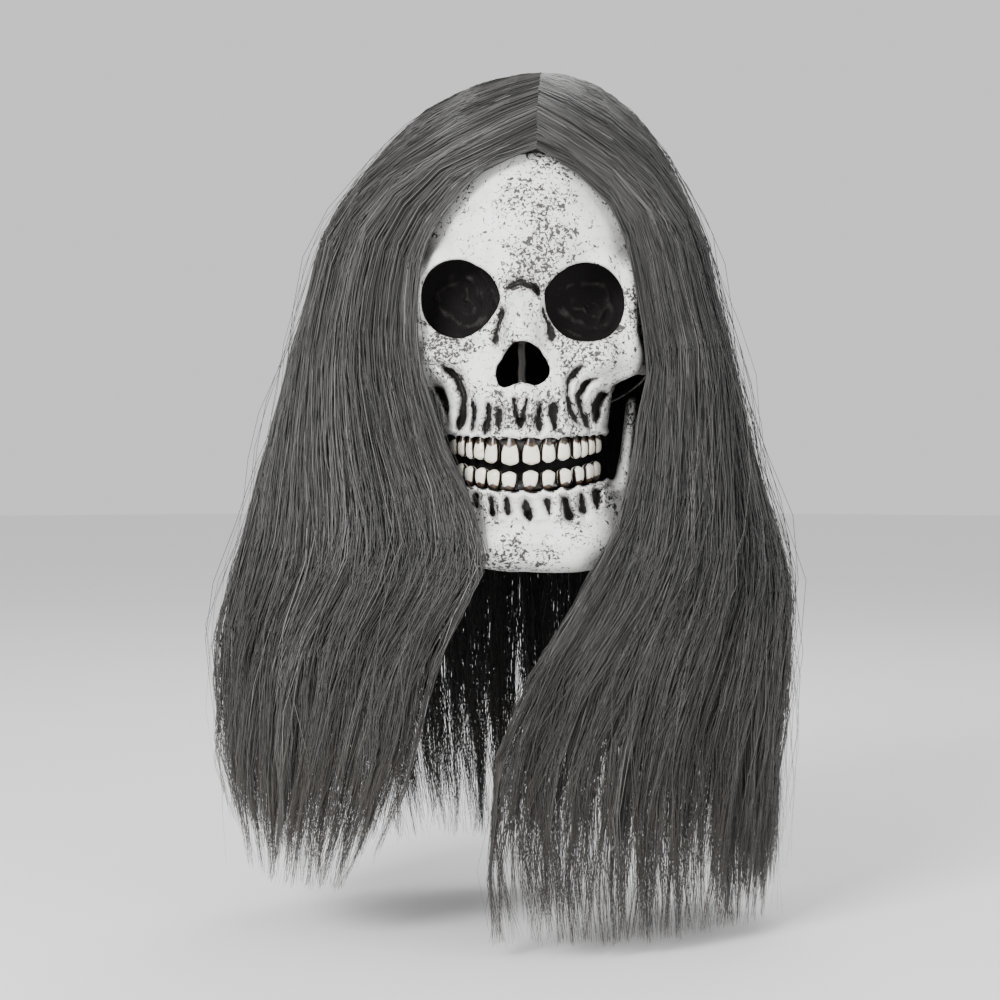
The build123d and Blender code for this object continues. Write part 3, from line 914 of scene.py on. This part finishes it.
def hair_place(side, share, layer, drop):
    """Where a hair is: side -1 or 1, share 0 at the front edge to 1 at the back, layer 0 next to
    the head to 1 outside, drop 0 at the crown, 1 where the head's sides begin, then down."""
    angle = np.clip(drop, 0, 1) * math.pi / 2
    below = np.maximum(drop - 1.0, 0.0) * DROP_STEP
    from_edge = smooth_step(share / 0.14)
    layer = layer * (0.30 + 0.70 * from_edge) + 0.16 * (1 - from_edge)
    rise = DOME_RISE[0] + (DOME_RISE[1] - DOME_RISE[0]) * layer
    z = DOME_Z + rise * np.cos(angle) - below
    z_out = DOME_Z + DOME_RISE[1] * np.cos(angle) - below
    left = side > 0
    low_x = np.where(left, table(HAIR_REACH, z_out, 2), table(HAIR_REACH, z_out, 1))
    full = np.where(left, 99.0 + 9.0 * smooth_step((drop - 0.7) / 0.3),
                    106.0 + 21.0 * smooth_step((drop - 0.5) / 0.5))
    out_x = np.where(drop < 1, full * np.sin(angle), low_x)
    dome_in = np.sin(angle) ** 0.92
    in_x = np.where(drop < 1, 86.0 * dome_in, table(HAIR_LINING, z, 1))
    in_y = np.where(drop < 1, 107.5 * dome_in, table(HAIR_LINING, z, 2))
    out_y = np.where(drop < 1, 118.5 * np.sin(angle) ** 0.86, 118.5 - 3.0 * smooth_step(below / 90))
    ax = in_x + (out_x - in_x) * layer
    ay = in_y + (out_y - in_y) * layer
    top = 1 - smooth_step(drop / 0.55)
    cx, cy = 9.0 * top, 3.0 + 8.0 * top
    edge = np.where(left, table(LEFT_EDGE, z, 1), table(RIGHT_EDGE, z, 1))
    front = np.arcsin(np.clip(side * (edge - cx) / ax, -0.5, 0.97))
    started = np.clip(1 - drop / FRONT_START, 0, 1) * PARTING_SHARE
    spread = np.clip((share - started) / (1 - started), 0, 1)
    turn = front + spread * (math.pi - front)
    return cx + side * ax * np.sin(turn), cy - ay * np.cos(turn), z


def root_drop(share):
    return np.maximum(FRONT_START * (1 - share / PARTING_SHARE), 0.045)


def comb_hair(side, count, guides, seed):
    """Centre lines of one side's hair: points, thickness, shade and how far along each one is."""
    rng = np.random.default_rng(seed)
    g_share = (np.arange(guides) + rng.uniform(-0.4, 0.4, guides)) / guides
    g_share = np.clip(rng.permutation(g_share), 0.0, 1.0)
    g_layer = rng.uniform(0, 1, guides) ** 0.75
    g_tip = rng.normal(0, 1, guides)
    g_wave = rng.uniform(0, 6.28, (guides, 4))
    g_reach = rng.uniform(0.5, 1.3, (guides, 2))
    g_tone = rng.normal(0, 1, guides)
    g_sway = rng.normal(0, 1, (guides, 2))
    guide = rng.integers(0, guides, count)
    spread = rng.normal(0, 1, (count, 2))
    stray = rng.random(count) > STRAY_FROM
    share0 = np.clip(g_share[guide] + spread[:, 0] * 1.5 / guides * 3.0, 0, 1)
    layer0 = np.clip(g_layer[guide] + spread[:, 1] * 0.10, 0, 1)
    # how far each hair reaches down
    if side < 0:
        base = np.interp(share0, [0, 0.1, 0.3, 0.55, 1], [-292, -318, -300, -290, -318])
    else:
        base = np.interp(share0, [0, 0.1, 0.3, 0.55, 1], [-330, -346, -338, -316, -318])
    tip_z = base + 13.0 * g_tip[guide] + rng.normal(0, 9.0, count)
    short = rng.random(count) < 0.22
    tip_z = np.where(short, tip_z + rng.uniform(20, 110, count), tip_z)
    lowest = -352.0 if side > 0 else -330.0
    tip_z = np.clip(tip_z, lowest - 4.0 * rng.random(count), -150)
    start = root_drop(share0)
    under = (layer0 < 0.45) & (rng.random(count) < 0.6)
    start = np.where(under, np.maximum(start, rng.uniform(0.35, 0.95, count)), start)
    end = 1 + (DOME_Z - tip_z) / DROP_STEP
    t = np.linspace(0, 1, HAIR_STEPS)[None, :] ** 1.25
    drop = start[:, None] + (end - start)[:, None] * t
    side_of = np.full_like(drop, side)
    hang = smooth_step((drop - 0.9) / 1.9)
    # hairs of one lock draw together towards the tip
    gather = 1 - 0.80 * smooth_step((drop - 1.5) / 1.4)
    gather = np.where(stray[:, None], 1.0, gather)
    share = g_share[guide][:, None] + (share0 - g_share[guide])[:, None] * gather
    layer = g_layer[guide][:, None] + (layer0 - g_layer[guide])[:, None] * gather
    share = np.clip(share + 0.022 * g_sway[guide, 0][:, None] * hang, 0, 1)
    layer = np.clip(layer, 0, 1.02)
    x, y, z = hair_place(side_of, share, layer, drop)
    # long lazy waves of the lock, small ones of the single hair, and frizz further down
    size = np.maximum(np.hypot(x, y * 0.9), 1e-3)
    nx, ny = x / size, y * 0.9 / size
    tx, ty = -ny, nx
    w = g_wave[guide]
    length = (drop - start[:, None]) * DROP_STEP
    ripple = 3.4 * np.sin(length / 30.0 + w[:, :1]) + 2.2 * np.sin(length / 14.0 + w[:, 1:2])
    along = ripple * g_reach[guide, 0][:, None] * hang
    out = 3.0 * np.sin(length / 25.0 + w[:, 2:3]) * g_reach[guide, 1][:, None] * hang
    own = rng.uniform(0, 6.28, (count, 3))
    fine = 0.35 + 1.0 * hang
    along += fine * 0.9 * np.sin(length / 11.0 + own[:, :1])
    out += fine * 0.9 * np.sin(length / 13.0 + own[:, 1:2])
    wild = np.where(stray, rng.uniform(3.0, 12.0, count), 0.0)[:, None]
    bend = smooth_step((drop - start[:, None]) / 1.1)
    along += wild * bend * np.sin(length / 42.0 + own[:, 2:3])
    out += wild * bend * (0.55 + 0.5 * np.sin(length / 33.0 + own[:, :1]))
    drift = np.where(stray, rng.normal(0, 9.0, count), 0.0)[:, None] * hang
    along += drift
    x = x + nx * out + tx * along
    y = y + ny * out + ty * along
    z = z + 0.8 * fine * np.sin(length / 17.0 + own[:, :1])
    points = np.stack([x, y, z], 2)
    thick = (0.20 + 0.08 * rng.random(count))[:, None] * np.ones_like(t)
    thick = thick * (1 - 0.72 * smooth_step((t - 0.72) / 0.28))
    thick = np.where(stray[:, None], thick * 0.72, thick)
    tone = np.clip(0.42 + 0.15 * g_tone[guide] + rng.normal(0, 0.15, count), 0.02, 0.98)
    bright = rng.random(count) < 0.04
    tone = np.where(bright, rng.uniform(0.78, 1.0, count), tone)
    # painted shade: hairs in the layers nearer the head are darker
    tone = tone - 0.25 * (1 - layer0) * (1 - bright)
    shade = np.clip(tone, 0.02, 0.98)[:, None] * np.ones_like(t)
    travel = np.clip((drop - 0.1) / 2.9, 0, 1)
    back_share = 0.57 if side < 0 else 0.49
    return points, thick, shade, travel, share0 > back_share


def strand_tree(material):
    """Turns hair centre lines into thin three-sided hairs."""
    tree = bpy.data.node_groups.new("hair_from_lines", "GeometryNodeTree")
    face = tree.interface
    face.new_socket("Lines", in_out="INPUT", socket_type="NodeSocketGeometry")
    face.new_socket("Thickness", in_out="INPUT", socket_type="NodeSocketFloat")
    face.new_socket("Sides", in_out="INPUT", socket_type="NodeSocketInt")
    face.new_socket("Hairs", in_out="OUTPUT", socket_type="NodeSocketGeometry")
    start = tree.nodes.new("NodeGroupInput")
    end = tree.nodes.new("NodeGroupOutput")
    lines = tree.nodes.new("GeometryNodeMeshToCurve")
    width = tree.nodes.new("GeometryNodeInputNamedAttribute")
    width.data_type = "FLOAT"
    width.inputs["Name"].default_value = "thick"
    product = tree.nodes.new("ShaderNodeMath")
    product.operation = "MULTIPLY"
    radius = tree.nodes.new("GeometryNodeSetCurveRadius")
    round_ = tree.nodes.new("GeometryNodeCurvePrimitiveCircle")
    round_.inputs["Radius"].default_value = 1.0
    sweep = tree.nodes.new("GeometryNodeCurveToMesh")
    sweep.inputs["Fill Caps"].default_value = True
    real = tree.nodes.new("GeometryNodeRealizeInstances")
    paint = tree.nodes.new("GeometryNodeSetMaterial")
    paint.inputs["Material"].default_value = material
    link = tree.links.new
    link(start.outputs["Lines"], lines.inputs["Mesh"])
    link(width.outputs["Attribute"], product.inputs[0])
    link(start.outputs["Thickness"], product.inputs[1])
    link(lines.outputs["Curve"], radius.inputs["Curve"])
    link(product.outputs[0], radius.inputs["Radius"])
    link(start.outputs["Sides"], round_.inputs["Resolution"])
    link(radius.outputs["Curve"], sweep.inputs["Curve"])
    link(round_.outputs["Curve"], sweep.inputs["Profile Curve"])
    if "Scale" in sweep.inputs:
        link(product.outputs[0], sweep.inputs["Scale"])
    link(sweep.outputs["Mesh"], real.inputs["Geometry"])
    link(real.outputs["Geometry"], paint.inputs["Geometry"])
    link(paint.outputs["Geometry"], end.inputs["Hairs"])
    return tree


def set_input(modifier, tree, name, value):
    for item in tree.interface.items_tree:
        if item.item_type == "SOCKET" and item.in_out == "INPUT" and item.name == name:
            modifier[item.identifier] = value


def hair_piece(name, tree, points, thick, shade, travel):
    """One bundle of hairs as a plain mesh."""
    count, steps, _ = points.shape
    lines = bpy.data.meshes.new(name)
    lines.vertices.add(count * steps)
    lines.vertices.foreach_set("co", (points * MM).astype(np.float32).ravel())
    first = (np.arange(count)[:, None] * steps + np.arange(steps - 1)[None, :]).ravel()
    lines.edges.add(len(first))
    lines.edges.foreach_set("vertices", np.stack([first, first + 1], 1).astype(np.int32).ravel())
    holder = new_object(name, lines)
    vertex_value(holder, "thick", (thick * MM).ravel())
    vertex_value(holder, "shade", shade.ravel())
    vertex_value(holder, "along", travel.ravel())
    grow = holder.modifiers.new("hairs", "NODES")
    grow.node_group = tree
    set_input(grow, tree, "Thickness", 1.0)
    set_input(grow, tree, "Sides", 3)
    grown = holder.evaluated_get(bpy.context.evaluated_depsgraph_get())
    mesh = bpy.data.meshes.new_from_object(grown)
    holder.modifiers.clear()
    holder.data = mesh
    bpy.data.meshes.remove(lines)
    mesh.shade_smooth()
    # a map across shade and length for the colour bake
    corner = np.zeros(len(mesh.loops), np.int32)
    mesh.loops.foreach_get("vertex_index", corner)
    pair = []
    for key in ("shade", "along"):
        values = np.zeros(len(mesh.vertices), np.float32)
        mesh.attributes[key].data.foreach_get("value", values)
        pair.append(values)
    side = (np.arange(len(mesh.vertices)) % 3) * 0.004
    flat = np.stack([np.clip(pair[0] + side, 0, 1), pair[1]], 1)[corner]
    layer = mesh.uv_layers.new(name="OFBake")
    layer.uv.foreach_set("vector", flat.astype(np.float32).ravel())
    return holder


# ------------------------------------------------------------------ finishes
def effect(name, inputs, outputs):
    """An empty effect with named inputs and outputs, shared by the finishes that need it."""
    tree = bpy.data.node_groups.new(name, "ShaderNodeTree")
    for label, value in inputs:
        socket = tree.interface.new_socket(label, in_out="INPUT", socket_type="NodeSocketFloat")
        socket.default_value = value
    for label, kind in outputs:
        tree.interface.new_socket(label, in_out="OUTPUT", socket_type=kind)
    return tree, tree.nodes.new("NodeGroupInput"), tree.nodes.new("NodeGroupOutput")


def feed(tree, socket, given):
    """Sets a socket to a number or colour, or joins another socket to it."""
    if isinstance(given, tuple):
        socket.default_value = (*given, 1.0)
    elif isinstance(given, (int, float)):
        socket.default_value = given
    else:
        tree.links.new(given, socket)


def math_node(tree, kind, a, b=None):
    node = tree.nodes.new("ShaderNodeMath")
    node.operation = kind
    for socket, value in zip(node.inputs, (a, b)):
        if value is not None:
            feed(tree, socket, value)
    return node.outputs[0]


def times(tree, a, b):
    return math_node(tree, "MULTIPLY", a, b)


def plus(tree, a, b):
    return math_node(tree, "ADD", a, b)


def minus(tree, a, b):
    return math_node(tree, "SUBTRACT", a, b)


def grain(tree, where, scale, detail=2.0, rough=0.5, swirl=0.0):
    """Noise over the surface; scale may be a number or a socket."""
    node = tree.nodes.new("ShaderNodeTexNoise")
    tree.links.new(where, node.inputs["Vector"])
    feed(tree, node.inputs["Scale"], scale)
    node.inputs["Detail"].default_value = detail
    node.inputs["Roughness"].default_value = rough
    node.inputs["Distortion"].default_value = swirl
    return node.outputs["Fac"]


def ease(tree, value, low, high):
    """0 below low, 1 above high, smooth between; low and high may be sockets."""
    node = tree.nodes.new("ShaderNodeMapRange")
    node.interpolation_type = "SMOOTHSTEP"
    for socket, given in ((node.inputs["Value"], value), (node.inputs["From Min"], low),
                          (node.inputs["From Max"], high)):
        feed(tree, socket, given)
    return node.outputs["Result"]


def blend_colour(tree, share, a, b):
    node = tree.nodes.new("ShaderNodeMix")
    node.data_type = "RGBA"
    pairs = ((node.inputs[0], share), (node.inputs[6], a), (node.inputs[7], b))
    for socket, given in pairs:
        feed(tree, socket, given)
    return node.outputs[2]


def object_place(tree):
    return tree.nodes.new("ShaderNodeTexCoord").outputs["Object"]


def surface_value(tree, name):
    node = tree.nodes.new("ShaderNodeAttribute")
    node.attribute_name = name
    return node.outputs["Fac"]


def pits_effect():
    """Pits: small dark holes and scratches, gathered in patches."""
    tree, start, end = effect("rubbed_pits", [
        ("Pit Scale", 620.0), ("Patch Scale", 34.0), ("Rarity", 0.66), ("Reach", 0.13)],
        [("Pits", "NodeSocketFloat")])
    where = object_place(tree)
    small = grain(tree, where, start.outputs["Pit Scale"], 3.0, 0.6, 0.7)
    patch = grain(tree, where, start.outputs["Patch Scale"], 2.0, 0.55)
    gather = times(tree, ease(tree, patch, 0.36, 0.66), start.outputs["Reach"])
    low = minus(tree, start.outputs["Rarity"], gather)
    high = plus(tree, low, 0.022)
    tree.links.new(ease(tree, small, low, high), end.inputs["Pits"])
    return tree


def weave_effect():
    """Weave: crossing threads, given as a height and the open holes between them."""
    tree, start, end = effect("open_weave", [("Threads", 900.0), ("Cover", 0.5)], [
        ("Height", "NodeSocketFloat"), ("Holes", "NodeSocketFloat")])
    place = tree.nodes.new("ShaderNodeSeparateXYZ")
    tree.links.new(object_place(tree), place.inputs[0])
    depth = plus(tree, place.outputs["X"], times(tree, place.outputs["Y"], 0.6))
    waves = []
    for axis in (depth, place.outputs["Z"]):
        angle = times(tree, axis, times(tree, start.outputs["Threads"], 6.2832))
        waves.append(math_node(tree, "ABSOLUTE", math_node(tree, "SINE", angle)))
    height = math_node(tree, "MAXIMUM", *waves)
    tree.links.new(height, end.inputs["Height"])
    holes = math_node(tree, "LESS_THAN", height, start.outputs["Cover"])
    tree.links.new(holes, end.inputs["Holes"])
    return tree


def use(tree, shared, **values):
    node = tree.nodes.new("ShaderNodeGroup")
    node.node_tree = shared
    for name, value in values.items():
        node.inputs[name.replace("_", " ")].default_value = value
    return node


def finish_material(name, roughness, **plain):
    """A material with its shader; constants sit on the shader's own sockets."""
    material = bpy.data.materials.new(name)
    material.use_nodes = True
    tree = material.node_tree
    shader = tree.nodes["Principled BSDF"]
    shader.inputs["Roughness"].default_value = roughness
    for label, value in plain.items():
        shader.inputs[label.replace("_", " ")].default_value = value
    return material, tree, shader


def bump(tree, shader, height, depth):
    node = tree.nodes.new("ShaderNodeBump")
    node.inputs["Strength"].default_value = 1.0
    node.inputs["Distance"].default_value = depth
    tree.links.new(height, node.inputs["Height"])
    tree.links.new(node.outputs["Normal"], shader.inputs["Normal"])


PITS = pits_effect()
WEAVE = weave_effect()


def bone_paint():
    """Bone-white latex paint with black-brown wash rubbed into pits and creases, grey painted shade
    round the creases and towards the sides, and a near-black inside that is painted shade.
    """
    material, tree, shader = finish_material("bone_paint", 0.5, Specular_IOR_Level=0.15)
    where = object_place(tree)
    wash_and_shade = surface_value(tree, "wash_and_shade")
    inside = surface_value(tree, "inside")
    fine = use(tree, PITS, Pit_Scale=560.0, Patch_Scale=34.0, Rarity=0.668, Reach=0.162).outputs[0]
    coarse = use(tree, PITS, Pit_Scale=250.0, Patch_Scale=24.0, Rarity=0.705, Reach=0.14).outputs[0]
    pits = math_node(tree, "MAXIMUM", fine, coarse)
    cloud = grain(tree, where, 30.0, 4.0, 0.6)
    brush = grain(tree, where, 180.0, 3.0, 0.7, 0.4)
    edge = plus(tree, wash_and_shade, times(tree, minus(tree, brush, 0.5), 0.85))
    # grey painted shade round the creases, black wash in their cores
    wash_and_shade_grey = ease(tree, edge, 0.12, 0.60)
    deep = ease(tree, edge, 0.44, 0.80)
    paint = blend_colour(tree, ease(tree, cloud, 0.40, 0.72), (0.86, 0.855, 0.84), (0.70, 0.695, 0.68))
    # painted shade: grey patches, stronger towards the sides of the head
    place = tree.nodes.new("ShaderNodeSeparateXYZ")
    tree.links.new(where, place.inputs[0])
    outward = ease(tree, math_node(tree, "ABSOLUTE", place.outputs["X"]), 0.024, 0.078)
    shade_patches = ease(tree, grain(tree, where, 62.0, 4.0, 0.65, 0.6), 0.44, 0.66)
    side_shade = times(tree, shade_patches, plus(tree, times(tree, outward, 0.55), 0.20))
    paint = blend_colour(tree, side_shade, paint, (0.36, 0.355, 0.34))
    paint = blend_colour(tree, times(tree, wash_and_shade_grey, 0.62), paint, (0.20, 0.19, 0.175))
    paint = blend_colour(tree, deep, paint, (0.012, 0.011, 0.010))
    paint = blend_colour(tree, times(tree, pits, 0.94), paint, (0.022, 0.020, 0.018))
    # near-black inside: the bare latex, darkened as painted shade inside the mask
    paint = blend_colour(tree, inside, paint, (0.018, 0.016, 0.015))
    tree.links.new(paint, shader.inputs["Base Color"])
    rough = plus(tree, times(tree, brush, 0.22), 0.36)
    tree.links.new(rough, shader.inputs["Roughness"])
    height = minus(tree, times(tree, brush, 0.35), pits)
    bump(tree, shader, height, 0.0005)
    return material


def tooth_enamel():
    """Glossy ivory paint, brown at the roots, black on the band behind the teeth, and black on their
    flanks as painted shade between the teeth.
    """
    material, tree, shader = finish_material("tooth_enamel", 0.25, Specular_IOR_Level=0.5,
                                             Coat_Weight=0.12, Coat_Roughness=0.2)
    where = object_place(tree)
    paint = surface_value(tree, "paint")
    shade = surface_value(tree, "shade")
    streak = grain(tree, where, 260.0, 3.0, 0.6, 0.5)
    ivory = blend_colour(tree, shade, (0.84, 0.81, 0.72), (0.74, 0.69, 0.57))
    ivory = blend_colour(tree, ease(tree, streak, 0.55, 0.75), ivory, (0.58, 0.50, 0.36))
    root = plus(tree, paint, times(tree, minus(tree, streak, 0.5), 0.5))
    colour = blend_colour(tree, ease(tree, root, 0.25, 0.75), ivory, (0.050, 0.029, 0.016))
    # black on the band behind the teeth, and painted shade on the tooth flanks
    colour = blend_colour(tree, ease(tree, root, 1.1, 1.6), colour, (0.006, 0.005, 0.005))
    tree.links.new(colour, shader.inputs["Base Color"])
    bump(tree, shader, streak, 0.00015)
    return material


def gauze_cloth():
    """Black see-through gauze: fine open weave, with a painted highlight along its raised folds."""
    material, tree, shader = finish_material("black_gauze", 0.85, Specular_IOR_Level=0.06)
    weave = use(tree, WEAVE, Threads=520.0, Cover=0.42)
    cloud = grain(tree, object_place(tree), 120.0, 3.0, 0.6)
    # painted highlight: lighter threads on the raised folds
    fold_highlight = times(tree, ease(tree, surface_value(tree, "fold"), 0.1, 1.3),
                      ease(tree, cloud, 0.42, 0.64))
    thread = blend_colour(tree, fold_highlight, (0.010, 0.009, 0.009), (0.050, 0.044, 0.042))
    colour = blend_colour(tree, weave.outputs["Holes"], thread, (0.002, 0.002, 0.002))
    tree.links.new(colour, shader.inputs["Base Color"])
    bump(tree, shader, weave.outputs["Height"], 0.00025)
    return material


def cap_cloth(name, light, dark, threads):
    """Dull knitted or sewn cloth of the wig's base."""
    material, tree, shader = finish_material(name, 0.85, Specular_IOR_Level=0.2)
    weave = use(tree, WEAVE, Threads=threads, Cover=0.3)
    cloud = grain(tree, object_place(tree), 90.0, 3.0, 0.6)
    colour = blend_colour(tree, cloud, dark, light)
    colour = blend_colour(tree, weave.outputs["Holes"], colour, tuple(v * 0.4 for v in dark))
    tree.links.new(colour, shader.inputs["Base Color"])
    bump(tree, shader, weave.outputs["Height"], 0.0004)
    return material


def hair_fibre():
    """Smooth grey synthetic fibre, each hair its own grey, those nearer the head darker as painted
    shade.
    """
    material, tree, shader = finish_material("grey_hair", 0.46, Specular_IOR_Level=0.4)
    shade = surface_value(tree, "shade")
    along = surface_value(tree, "along")
    ramp = tree.nodes.new("ShaderNodeValToRGB")
    marks = [(0.0, (0.018, 0.017, 0.017)), (0.35, (0.042, 0.041, 0.040)),
             (0.62, (0.070, 0.069, 0.067)), (0.84, (0.105, 0.103, 0.099)),
             (1.0, (0.190, 0.186, 0.178))]
    for n, (spot, colour) in enumerate(marks):
        mark = ramp.color_ramp.elements[n] if n < 2 else ramp.color_ramp.elements.new(spot)
        mark.position = spot
        mark.color = (*colour, 1.0)
    tree.links.new(shade, ramp.inputs["Fac"])
    worn = blend_colour(tree, times(tree, ease(tree, along, 0.62, 1.0), 0.35),
                        ramp.outputs["Color"], (0.080, 0.065, 0.053))
    tree.links.new(worn, shader.inputs["Base Color"])
    rough = plus(tree, times(tree, shade, 0.15), 0.34)
    tree.links.new(rough, shader.inputs["Roughness"])
    return material


def wear(obj, material):
    obj.data.materials.clear()
    obj.data.materials.append(material)


def fit(obj, material, body, node):
    """Gives a piece its finish, its body and the plain piece that it stands for."""
    wear(obj, material)
    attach(obj, body)
    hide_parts(node)


def dress(obj, material):
    """Gives a carried-over piece its finish without touching its mesh."""
    for slot in obj.material_slots:
        slot.material = material


# ------------------------------------------------------------------ making the pieces
BONE = bone_paint()
ENAMEL = tooth_enamel()
GAUZE = gauze_cloth()
FIBRE = hair_fibre()


def make_shell(name, sculpt, triangles, body, node):
    points, quads, dark, inner = sculpt()
    piece = plain_mesh(name, points, quads)
    # black wash with painted shade in the creases
    vertex_value(piece, "wash_and_shade", dark)
    vertex_value(piece, "inside", inner)
    lighten(piece, triangles)
    fit(piece, BONE, body, node)


SKULL_TRIANGLES = 190000
JAW_TRIANGLES = 70000
make_shell("sculpted_skull", sculpt_skull, SKULL_TRIANGLES, "skull", "skull_shell")
make_shell("sculpted_jaw", sculpt_jaw, JAW_TRIANGLES, "jaw", "jaw_shell")

ARCH = (46.0, 53.0, -51.0)
upper = tooth_row("cast_upper_teeth", UPPER_TEETH, lambda x: gum_line(x) + 2.5,
                  lambda x: -90.5 + 0.0033 * x * x, ARCH,
                  (lambda x: gum_line(x) + 4.0, lambda x: -84.0 + 0.0033 * x * x), 5)
lower = tooth_row("cast_lower_teeth", LOWER_TEETH, lambda x: jaw_line(x) - 2.5,
                  lambda x: -94.6 + 0.0028 * x * x, ARCH,
                  (lambda x: jaw_line(x) - 4.0, lambda x: -99.0 + 0.0028 * x * x), 6)
for row, body, node in ((upper, "skull", "upper_teeth"), (lower, "jaw", "lower_teeth")):
    fit(row, ENAMEL, body, node)

# each gauze is cut to its glued outline laid flat: width, height, area in metres
RIGHT_EYE_CUT = (0.0521, 0.0465, 0.001844)
LEFT_EYE_CUT = (0.0506, 0.0466, 0.001855)
for name, socket, node, seed, cut in (
        ("right_eye_cloth", RIGHT_SOCKET, "right_eye_gauze", 3, RIGHT_EYE_CUT),
        ("left_eye_cloth", LEFT_SOCKET, "left_eye_gauze", 4, LEFT_EYE_CUT)):
    cloth = eye_gauze(name, socket, seed)
    fit(cloth, GAUZE, "skull", node)
mouth = mouth_cloth("mouth_cloth")
wear(mouth, GAUZE)
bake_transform(mouth)
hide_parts("mouth_gauze")

CAP = cap_cloth("wig_net", (0.045, 0.043, 0.042), (0.015, 0.015, 0.015), 420.0)
STRIP = cap_cloth("parting_skin", (0.12, 0.11, 0.10), (0.05, 0.047, 0.044), 700.0)
TAPE = cap_cloth("weft_tape", (0.05, 0.048, 0.046), (0.02, 0.02, 0.02), 500.0)
dress(frame["nodes"]["wig_cap"], CAP)
dress(frame["nodes"]["parting_strip"], STRIP)
for number in range(1, 7):
    dress(frame["nodes"][f"weft_{number}"], TAPE)

# the hair: two sides and the back, each in bundles small enough to print
HAIRS = (7900, 7600)
GUIDES = 420
BUNDLE = 1900
sides = {side: comb_hair(side, count, GUIDES, SEED + side)
         for side, count in zip((-1, 1), HAIRS)}
groups = {
    "right_hair": [(sides[-1], False)],
    "left_hair": [(sides[1], False)],
    "back_hair": [(sides[-1], True), (sides[1], True)],
}
TREE = strand_tree(FIBRE)
LIFTS = {"right_hair": "crown_hair_right", "left_hair": "crown_hair_left",
         "back_hair": "crown_hair_back"}
for body, parts in groups.items():
    rows = []
    for (points, thick, shade, travel, behind), want in parts:
        pick = behind == want
        rows.append([values[pick] for values in (points, thick, shade, travel)])
    points, thick, shade, travel = (np.concatenate(column) for column in zip(*rows))
    bundles = math.ceil(len(points) / BUNDLE)
    for number in range(bundles):
        some = slice(number, None, bundles)
        locks = hair_piece(f"{body}_locks_{number + 1}", TREE, points[some], thick[some],
                           shade[some], travel[some])
        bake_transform(locks)
        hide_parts(body, LIFTS[body])


# ------------------------------------------------------------------ studio
def studio_floor(z, radius):
    """A round pale floor."""
    ring = 96
    angles = np.linspace(0, 2 * math.pi, ring, endpoint=False)
    mesh = bpy.data.meshes.new("studio_floor")
    points = [(radius * math.cos(a), radius * math.sin(a), z) for a in angles]
    mesh.from_pydata(points, [], [tuple(range(ring))])
    floor = new_object("studio_floor", mesh)
    material, tree, shader = finish_material("pale_floor", 0.9, Specular_IOR_Level=0.1)
    cloud = grain(tree, object_place(tree), 3.0, 2.0)
    tree.links.new(blend_colour(tree, cloud, (0.86, 0.86, 0.86), (0.83, 0.83, 0.83)),
                   shader.inputs["Base Color"])
    wear(floor, material)
    return floor


def soft_light(name, place, aim, power, size):
    lamp = bpy.data.lights.new(name, "AREA")
    lamp.energy = power
    lamp.size = size
    holder = new_object(name, lamp)
    holder.location = place
    holder.rotation_euler = (Vector(aim) - Vector(place)).to_track_quat("-Z", "Y").to_euler()


FLOOR_GAP = 0.004
FLOOR_RADIUS = 6.0
studio_floor(cad_box[0][2] - FLOOR_GAP, FLOOR_RADIUS)
soft_light("key", (-0.9, -1.7, 0.9), (0, 0, -0.06), 74, 0.8)
soft_light("fill", (1.5, -1.3, 0.2), (0, 0, -0.1), 22, 1.2)
soft_light("back_top", (0.2, 1.1, 1.3), (0, 0, 0), 14, 0.9)

world = bpy.data.worlds.new("studio")
bpy.context.scene.world = world
world.use_nodes = True
world.node_tree.nodes["Background"].inputs["Color"].default_value = (1, 1, 1, 1)
world.node_tree.nodes["Background"].inputs["Strength"].default_value = 0.9

AIM = Vector((-0.0122, -0.090, -0.1106))
TURN, TILT = math.radians(3.0), math.radians(2.0)
LENS, FILM, SEEN = 85.0, 36.0, 0.5555
camera = new_object("camera", bpy.data.cameras.new("camera"))
camera.data.lens = LENS
camera.data.sensor_width = FILM
reach = SEEN * LENS / FILM
back = Vector((math.sin(TURN) * math.cos(TILT), -math.cos(TURN) * math.cos(TILT), math.sin(TILT)))
camera.location = AIM + back * reach
camera.rotation_euler = (-back).to_track_quat("-Z", "Y").to_euler()
bpy.context.scene.camera = camera
